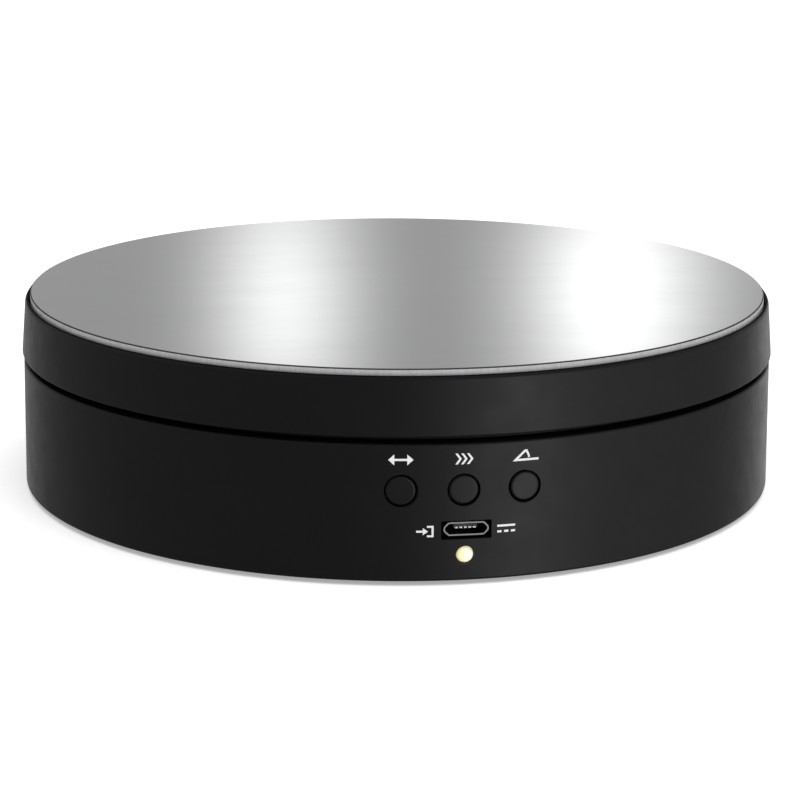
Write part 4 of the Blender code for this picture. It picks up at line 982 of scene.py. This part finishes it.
def build_motor():
    """A drawn can with a crimped base, its ear plate, the boss round its shaft and the cap for its wires."""
    low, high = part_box("motor_can")
    shaft = middle_of("motor_shaft")
    radius, spread, edge = 0.0140, 0.0175, 0.0001
    centre_y, face, crimp = high.y - radius, high.z - 0.0015, radius - 0.0003
    corners = [(0, face), (0.0105, face, edge), (0.0108, face - 0.0002, edge), (0.0118, face - 0.0002, edge)]
    corners += [(0.0121, face, edge), (radius, face, 0.0009), (radius, low.z + 0.0022, edge)]
    corners += [(crimp, low.z + 0.0019, edge), (crimp, low.z, 0.0004), (0, low.z)]
    arc = [radians(a) for a in range(-90, 91, 10)]
    right_end = [(spread + 0.0035 * cos(a), 0.0035 * sin(a)) for a in arc]
    outlines = [right_end + [(-x, -y) for x, y in right_end]]
    outlines += [circle(0.0021, 36, side * spread) for side in (-1, 1)]
    mesh = boolean(turned(corners, 144, 3), prism(outlines, face - 0.0010, face - 0.0002), "UNION")
    boss = placed(bar(0.0045, face - 0.0005, high.z, 72), 0, shaft.y - centre_y)
    mesh = boolean(mesh, boss, "UNION")
    shaft_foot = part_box("motor_shaft")[0].z - FIT_GAP
    cuts = [placed(bar(0.0028, shaft_foot, high.z + 0.002), 0, shaft.y - centre_y)]
    notch_low = (radius - 0.0008, -0.0012, low.z - 0.001)
    cuts += boxes_round(6, notch_low, (radius + 0.001, 0.0012, low.z + 0.0010), 0.5)
    mesh = boolean(mesh, merged(cuts))
    mesh.transform(Matrix.Translation((0, centre_y, 0)))
    new_piece("motor_body", mesh, ZINC, "base", "motor_can")
    low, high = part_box("motor_wire_cap")
    outline = rectangle(high.x, (centre_y - low.y) / 2, 0.0012, 0, (centre_y + low.y) / 2)
    can = placed(bar(radius + FIT_GAP, 0, DECK_UNDER_Z, 144), 0, centre_y)
    mesh = boolean(prism([outline], low.z, high.z), can)
    grooves = []
    for i in range(5):
        channel = bar(0.00062, -0.0022, 0.0010, 24)
        grooves.append(outward(channel, (i - 2) * WIRE_PITCH, low.y, LEAD_EXIT_Z))
    for side in (-1, 1):
        near, far = sorted((side * (high.x - 0.0006), side * (high.x + 0.001)))
        for i in range(3):
            z = low.z + 0.0040 + 0.0040 * i
            grooves.append(box((near, low.y + 0.0014, z - 0.0006), (far, low.y + 0.0040, z + 0.0006)))
    mesh = boolean(mesh, merged(grooves))
    new_piece("wire_cap", mesh, BLUE_NYLON, "base", "motor_wire_cap", 0.0001)


def eased(start, end, share):
    return start + (end - start) * share * share * (3 - 2 * share)


def build_lead():
    """Five wires side by side from the motor's cap to the plug, down to the cover and up again."""
    low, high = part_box("motor_lead")
    half = 0.0024  # of the plug's height
    plug_back, plug_z = low.y + 0.0050, high.z - half
    start_y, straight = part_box("motor_wire_cap")[0].y + 0.0010, 0.0030
    rise_y = plug_back + 0.0020 + LEAD_BEND
    shares = steps_between(0, 1, 11)
    route = [(start_y, LEAD_EXIT_Z)]
    route += [(start_y - straight - LEAD_BEND * s, eased(LEAD_EXIT_Z, LEAD_LOW_Z, s)) for s in shares]
    route += [(rise_y - LEAD_BEND * s, eased(LEAD_LOW_Z, plug_z, s)) for s in shares]
    route.append((plug_back - 0.0010, plug_z))
    curve = bpy.data.curves.new("motor_wires", "CURVE")
    curve.dimensions = "3D"
    curve.bevel_depth = WIRE_RADIUS
    curve.bevel_resolution = 3
    curve.use_fill_caps = True
    for i, look in enumerate(WIRES):
        curve.materials.append(look)
        spline = curve.splines.new("POLY")
        spline.points.add(len(route) - 1)
        spline.material_index = i
        spline.use_smooth = True
        for point, (y, z) in zip(spline.points, route):
            point.co = ((i - 2) * WIRE_PITCH, y, z, 1)
    wires = new_object("motor_wires", curve)
    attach(wires, "base")
    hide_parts("motor_lead")
    windows = []
    for i in range(5):
        x = (i - 2) * PIN_PITCH
        latch = (0.0006, 0.0010, 0.0032, half - 0.0008, half + 0.001)
        mouth = (0.0004, -0.001, 0.0008, -0.0004, 0.0004)
        for reach, front, back, under, over in (latch, mouth):
            window_low = (x - reach, low.y + front, plug_z + under)
            windows.append(box(window_low, (x + reach, low.y + back, plug_z + over)))
    mesh = boolean(box((low.x, low.y, plug_z - half), (high.x, plug_back, plug_z + half)), merged(windows))
    soften(new_piece("lead_plug", mesh, POM, "base"), 0.00015)


# ---- board
BOARD_BACK_Y = BOARD_HIGH.y + 0.00002


def build_board():
    """The board, with rounded corners and its screw holes, and the legend on its back."""
    middle = (BOARD_LOW + BOARD_HIGH) / 2
    outline = rectangle(BOARD_HIGH.x, (BOARD_HIGH.z - BOARD_LOW.z) / 2, 0.0010)
    holes = [circle(0.00145, 36, screw.x, screw.z - middle.z) for screw in middles("board_screw", 2)]
    shape = outward(prism([outline, *holes], 0, BOARD_HIGH.y - BOARD_LOW.y), 0, BOARD_HIGH.y, middle.z)
    new_piece("circuit_board", shape, BOARD, "base", "control_board")
    frames = []
    for half_width, x in ((0.0053, -0.0060), (0.0030, 0.0070)):
        line = rectangle(half_width, 0.0033, 0.0003, x, 0.0160)
        frames.append(prism([line, rectangle(half_width - 0.0002, 0.0031, 0.0002, x, 0.0160)], -0.00004, 0))
    new_piece("board_legend", outward(merged(frames), 0, BOARD_BACK_Y), PAPER_WHITE, "base")


def slab(x, z, half_x, half_z, height):
    """A small flat part on the board's back."""
    return box((x - half_x, BOARD_BACK_Y, z - half_z), (x + half_x, BOARD_BACK_Y + height, z + half_z))


def build_board_parts():
    """Small chip parts with soldered ends, in a row and in two pairs, and a capacitor."""
    row_z, long_half, short_half, height = 0.01215, 0.00046, 0.00035, 0.00045
    end_half, end_width, end_height, end_offsets = 0.00018, 0.0004, 0.00052, (-0.00065, 0.00065)
    bodies, ends = [], []
    for x in steps_between(-0.0125, 0.0125, 9):
        if abs(x) > 0.0022:
            bodies.append(slab(x, row_z, long_half, short_half, height))
            ends += [slab(x + dx, row_z, end_half, end_width, end_height) for dx in end_offsets]
    for x in (-0.0130, 0.0130):
        for z in (0.0070, 0.0088):
            bodies.append(slab(x, z, short_half, long_half, height))
            ends += [slab(x, z + dz, end_width, end_half, end_height) for dz in end_offsets]
    new_piece("chip_resistors", merged(bodies), CERAMIC, "base", edge=0.00005)
    new_piece("solder_ends", merged(ends), STEEL, "base", edge=0.00005)
    corners = [(0, 0.0052), (0.0024, 0.0052, 0.0003), (0.0025, 0.0014, 0.0002), (0.0023, 0.0011, 0.0002)]
    corners += [(0.0025, 0.0008, 0.0002), (0.0025, 0, 0.0001), (0, 0)]
    capacitor = inward(turned(corners, 48, 3), 0.0142, BOARD_BACK_Y, 0.0163)
    new_piece("supply_capacitor", capacitor, ZINC, "base")


def gull_leg(x, body_z, foot_z, high_y):
    """A flat leg that leaves a chip's side, steps down to the board and ends in a foot."""
    out = 1 if foot_z > body_z else -1
    thick, mid, foot_y = 0.00015, (body_z + foot_z) / 2, BOARD_HIGH.y + 0.00015
    route = [(body_z, high_y), (mid, high_y), (mid + out * 0.0002, foot_y), (foot_z, foot_y)]
    under = [(z, y - thick) for z, y in reversed(route[2:])] + [(mid - out * thick, high_y - thick)]
    under.append((body_z, high_y - thick))
    shape = prism([[(y, z) for z, y in route + under]], -0.0002, 0.0002)
    turn = Matrix(((0, 0, 1, 0), (1, 0, 0, 0), (0, 1, 0, 0), (0, 0, 0, 1)))
    return placed(moved(shape, turn), x)


def build_chips():
    """Two moulded chips with their legs down to the board, and a dot by the first leg of each."""
    for node, legs in (("motor_driver_chip", 8), ("microcontroller", 4)):
        low, high, middle = extent(node)
        depth = high.y - low.y
        body = prism([rectangle((high.x - low.x) / 2, (high.z - low.z) / 2, 0.0001)], 0, depth)
        dimple = bar(0.0003, depth - 0.00008, depth + 0.001, 24)
        mesh = boolean(
            inward(body, middle.x, low.y, middle.z),
            inward(dimple, low.x + 0.0008, low.y, low.z + 0.0008),
        )
        new_piece(f"{node}_body", mesh, RESIN, "base", node, 0.00012)
        pins = []
        for i in range(legs):
            x = middle.x + (i - (legs - 1) / 2) * 0.00115
            for side, edge in ((-1, low.z), (1, high.z)):
                pins.append(gull_leg(x, edge - side * 0.0001, edge + side * 0.0010, middle.y))
        new_piece(f"{node}_legs", merged(pins), STEEL, "base")


def build_socket():
    """The shrouded header that the motor's plug goes into, with its five pins."""
    low, high, middle = extent("motor_socket")
    depth = high.y - low.y
    outline = rectangle((high.x - low.x) / 2, (high.z - low.z) / 2, 0.0003)
    pocket = prism([rectangle(0.0068, 0.0025, 0.0002)], 0.0012, depth + 0.001)
    notch = prism([rectangle(0.0022, 0.0008, 0.0001, 0, -0.0031)], 0.0022, depth + 0.001)
    mesh = boolean(boolean(inward(prism([outline], 0, depth)), inward(pocket)), inward(notch))
    mesh.transform(Matrix.Translation((middle.x, low.y, middle.z)))
    new_piece("header", mesh, POM, "base", "motor_socket", 0.00012)
    pins, half = [], 0.00032
    for i in range(5):
        x = middle.x + (i - 2) * PIN_PITCH
        pin_low = (x - half, low.y + 0.0008, middle.z - half)
        pins.append(box(pin_low, (x + half, high.y - 0.0004, middle.z + half)))
    new_piece("header_pins", merged(pins), BRASS, "base", edge=0.00008)


def build_switches():
    """Tact switches: a moulded base under a pressed steel cover with four rivets, and its plunger."""
    for name in BUTTON_NAMES:
        low, high, middle = extent(f"{name}_switch_body")
        half, depth = (high.x - low.x) / 2, high.y - low.y
        base = outward(prism([rectangle(half, half, 0.0004)], 0, depth - 0.0004))
        mesh = boolean(base, outward(bar(0.0020, depth - 0.0015, depth + 0.001)))
        mesh.transform(Matrix.Translation((middle.x, high.y, middle.z)))
        new_piece(f"{name}_switch_base", mesh, RESIN, "base", f"{name}_switch_body", 0.0001)
        rim, rivet_at = half - 0.0001, 0.0021
        cover = [prism([rectangle(rim, rim, 0.0005), circle(0.0020, 48)], depth - 0.00038, depth - 0.0001)]
        for sx in (-1, 1):
            for sz in (-1, 1):
                cover.append(placed(bar(0.0004, depth - 0.00009, depth, 20), sx * rivet_at, sz * rivet_at))
        shape = outward(merged(cover), middle.x, high.y, middle.z)
        new_piece(f"{name}_switch_cover", shape, TINNED_STEEL, "base")
        low, high, middle = extent(f"{name}_switch_plunger")
        length, radius = high.y - low.y, (high.x - low.x) / 2
        corners = [(0, length), (radius, length, 0.0004), (radius, 0, 0.0001), (0, 0)]
        shape = outward(turned(corners, 48), middle.x, high.y, middle.z)
        new_piece(f"{name}_plunger", shape, POM, f"{name}_key", f"{name}_switch_plunger")


def build_small_rings():
    """The lamp's sleeve, and the ring of foam tape under the mirror, whose sides bulge a little."""
    low, high, middle = extent("led_spacer")
    radius, length = (high.x - low.x) / 2, high.y - low.y
    corners = [(0, length), (radius, length, 0.0002), (radius, 0, 0.0002), (0, 0)]
    sleeve = outward(turned(corners, 48), middle.x, high.y, middle.z)
    new_piece("lamp_sleeve", sleeve, RESIN, "base", "led_spacer")
    low, high, middle = extent("mirror_tape")
    half, inner_radius = (high.z - low.z) / 2, 0.0300
    bulge = half * 0.4
    turns = [radians(a) for a in range(-90, 91, 30)]
    outer = [(high.x - bulge + bulge * cos(a), middle.z - half * sin(a)) for a in turns]
    inner = [(inner_radius + bulge - bulge * cos(a), middle.z + half * sin(a)) for a in turns]
    new_piece("tape_ring", lathe(outer + inner, 192), TAPE, "platter", "mirror_tape")


# ---- stage
TARGET = Vector((0, 0, 0.019))
CAMERA_AZIMUTH = -9.16  # degrees
CAMERA_ELEVATION = 13.874
CAMERA_DISTANCE = 0.49877
CAMERA_LENS = 114.47  # millimetres, for a sensor 36 mm wide
CAMERA_PITCH = -0.00672
CAMERA_ROLL = 0.00466


def aimed(azimuth, elevation):
    """The direction from the stand at this azimuth, counted to the right from the camera, and elevation."""
    a, e = radians(CAMERA_AZIMUTH + azimuth), radians(elevation)
    return Vector((sin(a) * cos(e), -cos(a) * cos(e), sin(e)))


def build_camera():
    data = bpy.data.cameras.new("camera")
    data.lens = CAMERA_LENS
    data.sensor_width = 36
    data.sensor_fit = "HORIZONTAL"
    data.clip_start, data.clip_end = 0.01, 30
    camera = new_object("camera", data)
    back = aimed(0, CAMERA_ELEVATION)
    right = Vector((0, 0, 1)).cross(back).normalized()
    up = back.cross(right)
    aim = Matrix((right, up, back)).transposed()
    pitch, roll = Matrix.Rotation(CAMERA_PITCH, 3, "X"), Matrix.Rotation(CAMERA_ROLL, 3, "Z")
    camera.matrix_world = Matrix.Translation(TARGET + back * CAMERA_DISTANCE) @ (aim @ pitch @ roll).to_4x4()
    bpy.context.scene.camera = camera


def build_floor():
    """A pale floor, evenly lit, that the glossy sides of the stand don't mirror."""
    look, _, shader = new_material("floor_look")
    shader.inputs["Base Color"].default_value = (0.90, 0.90, 0.90, 1)
    shader.inputs["Roughness"].default_value = 0.8
    shader.inputs["Specular IOR Level"].default_value = 0.1
    shader.inputs["Emission Color"].default_value = (1.0, 1.0, 1.0, 1)
    shader.inputs["Emission Strength"].default_value = 0.35
    shape = bmesh.new()
    bmesh.ops.create_circle(shape, cap_ends=True, segments=96, radius=8.0)
    floor = new_object("floor", finished(shape))
    floor.data.materials.append(look)
    floor.visible_glossy = False


# azimuth, elevation, half-width and half-height in degrees, strength
GLOWS = (
    (182.62, 12.1, 1.68, 3.2, 0.74),
    (174.96, 11.9, 2.03, 3.0, 0.98),
    (36.0, -8.0, 12.0, 20.0, 4.2),
    (72.0, -8.0, 22.0, 20.0, 0.9),
    (-157.0, -12.0, 14.0, 16.0, 0.56),
    (154.0, -12.0, 15.0, 16.0, 1.1),
    (4.0, 12.0, 5.0, 8.0, 0.5),
    (-84.0, 12.0, 5.0, 8.0, 0.5),
    (180.0, 84.0, 40.0, 24.0, 0.6),
)
SURROUND = 0.305
TOP_LIGHT_FROM = (35, 72)  # azimuth and elevation
TOP_LIGHT_SPREAD = 70
TOP_LIGHT_STRENGTH = 2.1


def along(tree, direction, vector):
    node = add_node(tree, "ShaderNodeVectorMath", {"operation": "DOT_PRODUCT"})
    node.inputs[1].default_value = vector
    tree.links.new(direction, node.inputs[0])
    return node.outputs["Value"]


def build_world():
    """A grey room with soft lights round it, each a glow that fades out evenly."""
    world = bpy.data.worlds.new("studio")
    bpy.context.scene.world = world
    world.use_nodes = True
    tree = world.node_tree
    direction = add_node(tree, "ShaderNodeTexCoord").outputs["Generated"]
    total = SURROUND
    for azimuth, elevation, half_width, half_height, strength in GLOWS:
        axis = aimed(azimuth, elevation)
        side = axis.cross(Vector((0, 0, 1))).normalized()
        across = along(tree, direction, side / sin(radians(half_width)))
        upward = along(tree, direction, side.cross(axis) / sin(radians(half_height)))
        far = math_node(tree, "MULTIPLY_ADD", upward, upward, math_node(tree, "MULTIPLY", across, across))
        fade = math_node(tree, "POWER", exp(-1), far)
        facing = math_node(tree, "GREATER_THAN", along(tree, direction, axis), 0)
        total = math_node(tree, "MULTIPLY_ADD", math_node(tree, "MULTIPLY", fade, facing), strength, total)
    tree.links.new(total, tree.nodes["Background"].inputs["Strength"])
    tree.nodes["Background"].inputs["Color"].default_value = (1.0, 1.0, 1.0, 1)


def build_top_light():
    data = bpy.data.lights.new("top_light", "SUN")
    data.energy = TOP_LIGHT_STRENGTH
    data.angle = radians(TOP_LIGHT_SPREAD)
    light = new_object("top_light", data)
    light.visible_glossy = False  # the mirror shows the soft glows and not a hard-edged sun
    light.rotation_mode = "QUATERNION"
    light.rotation_quaternion = aimed(*TOP_LIGHT_FROM).to_track_quat("Z", "Y")


def build_stage():
    build_camera()
    build_floor()
    build_world()
    build_top_light()
    bpy.context.scene.view_settings.view_transform = "Standard"


build_stage()
for build in (
    build_mirror,
    build_platter,
    build_case,
    build_buttons,
    build_port,
    build_light,
    build_prints,
    build_cover,
    build_feet,
    build_screws,
    build_bearing,
    build_spindle,
    build_ring_gear,
    build_pinion,
    build_motor,
    build_lead,
    build_board,
    build_board_parts,
    build_chips,
    build_socket,
    build_switches,
    build_small_rings,
):
    build()
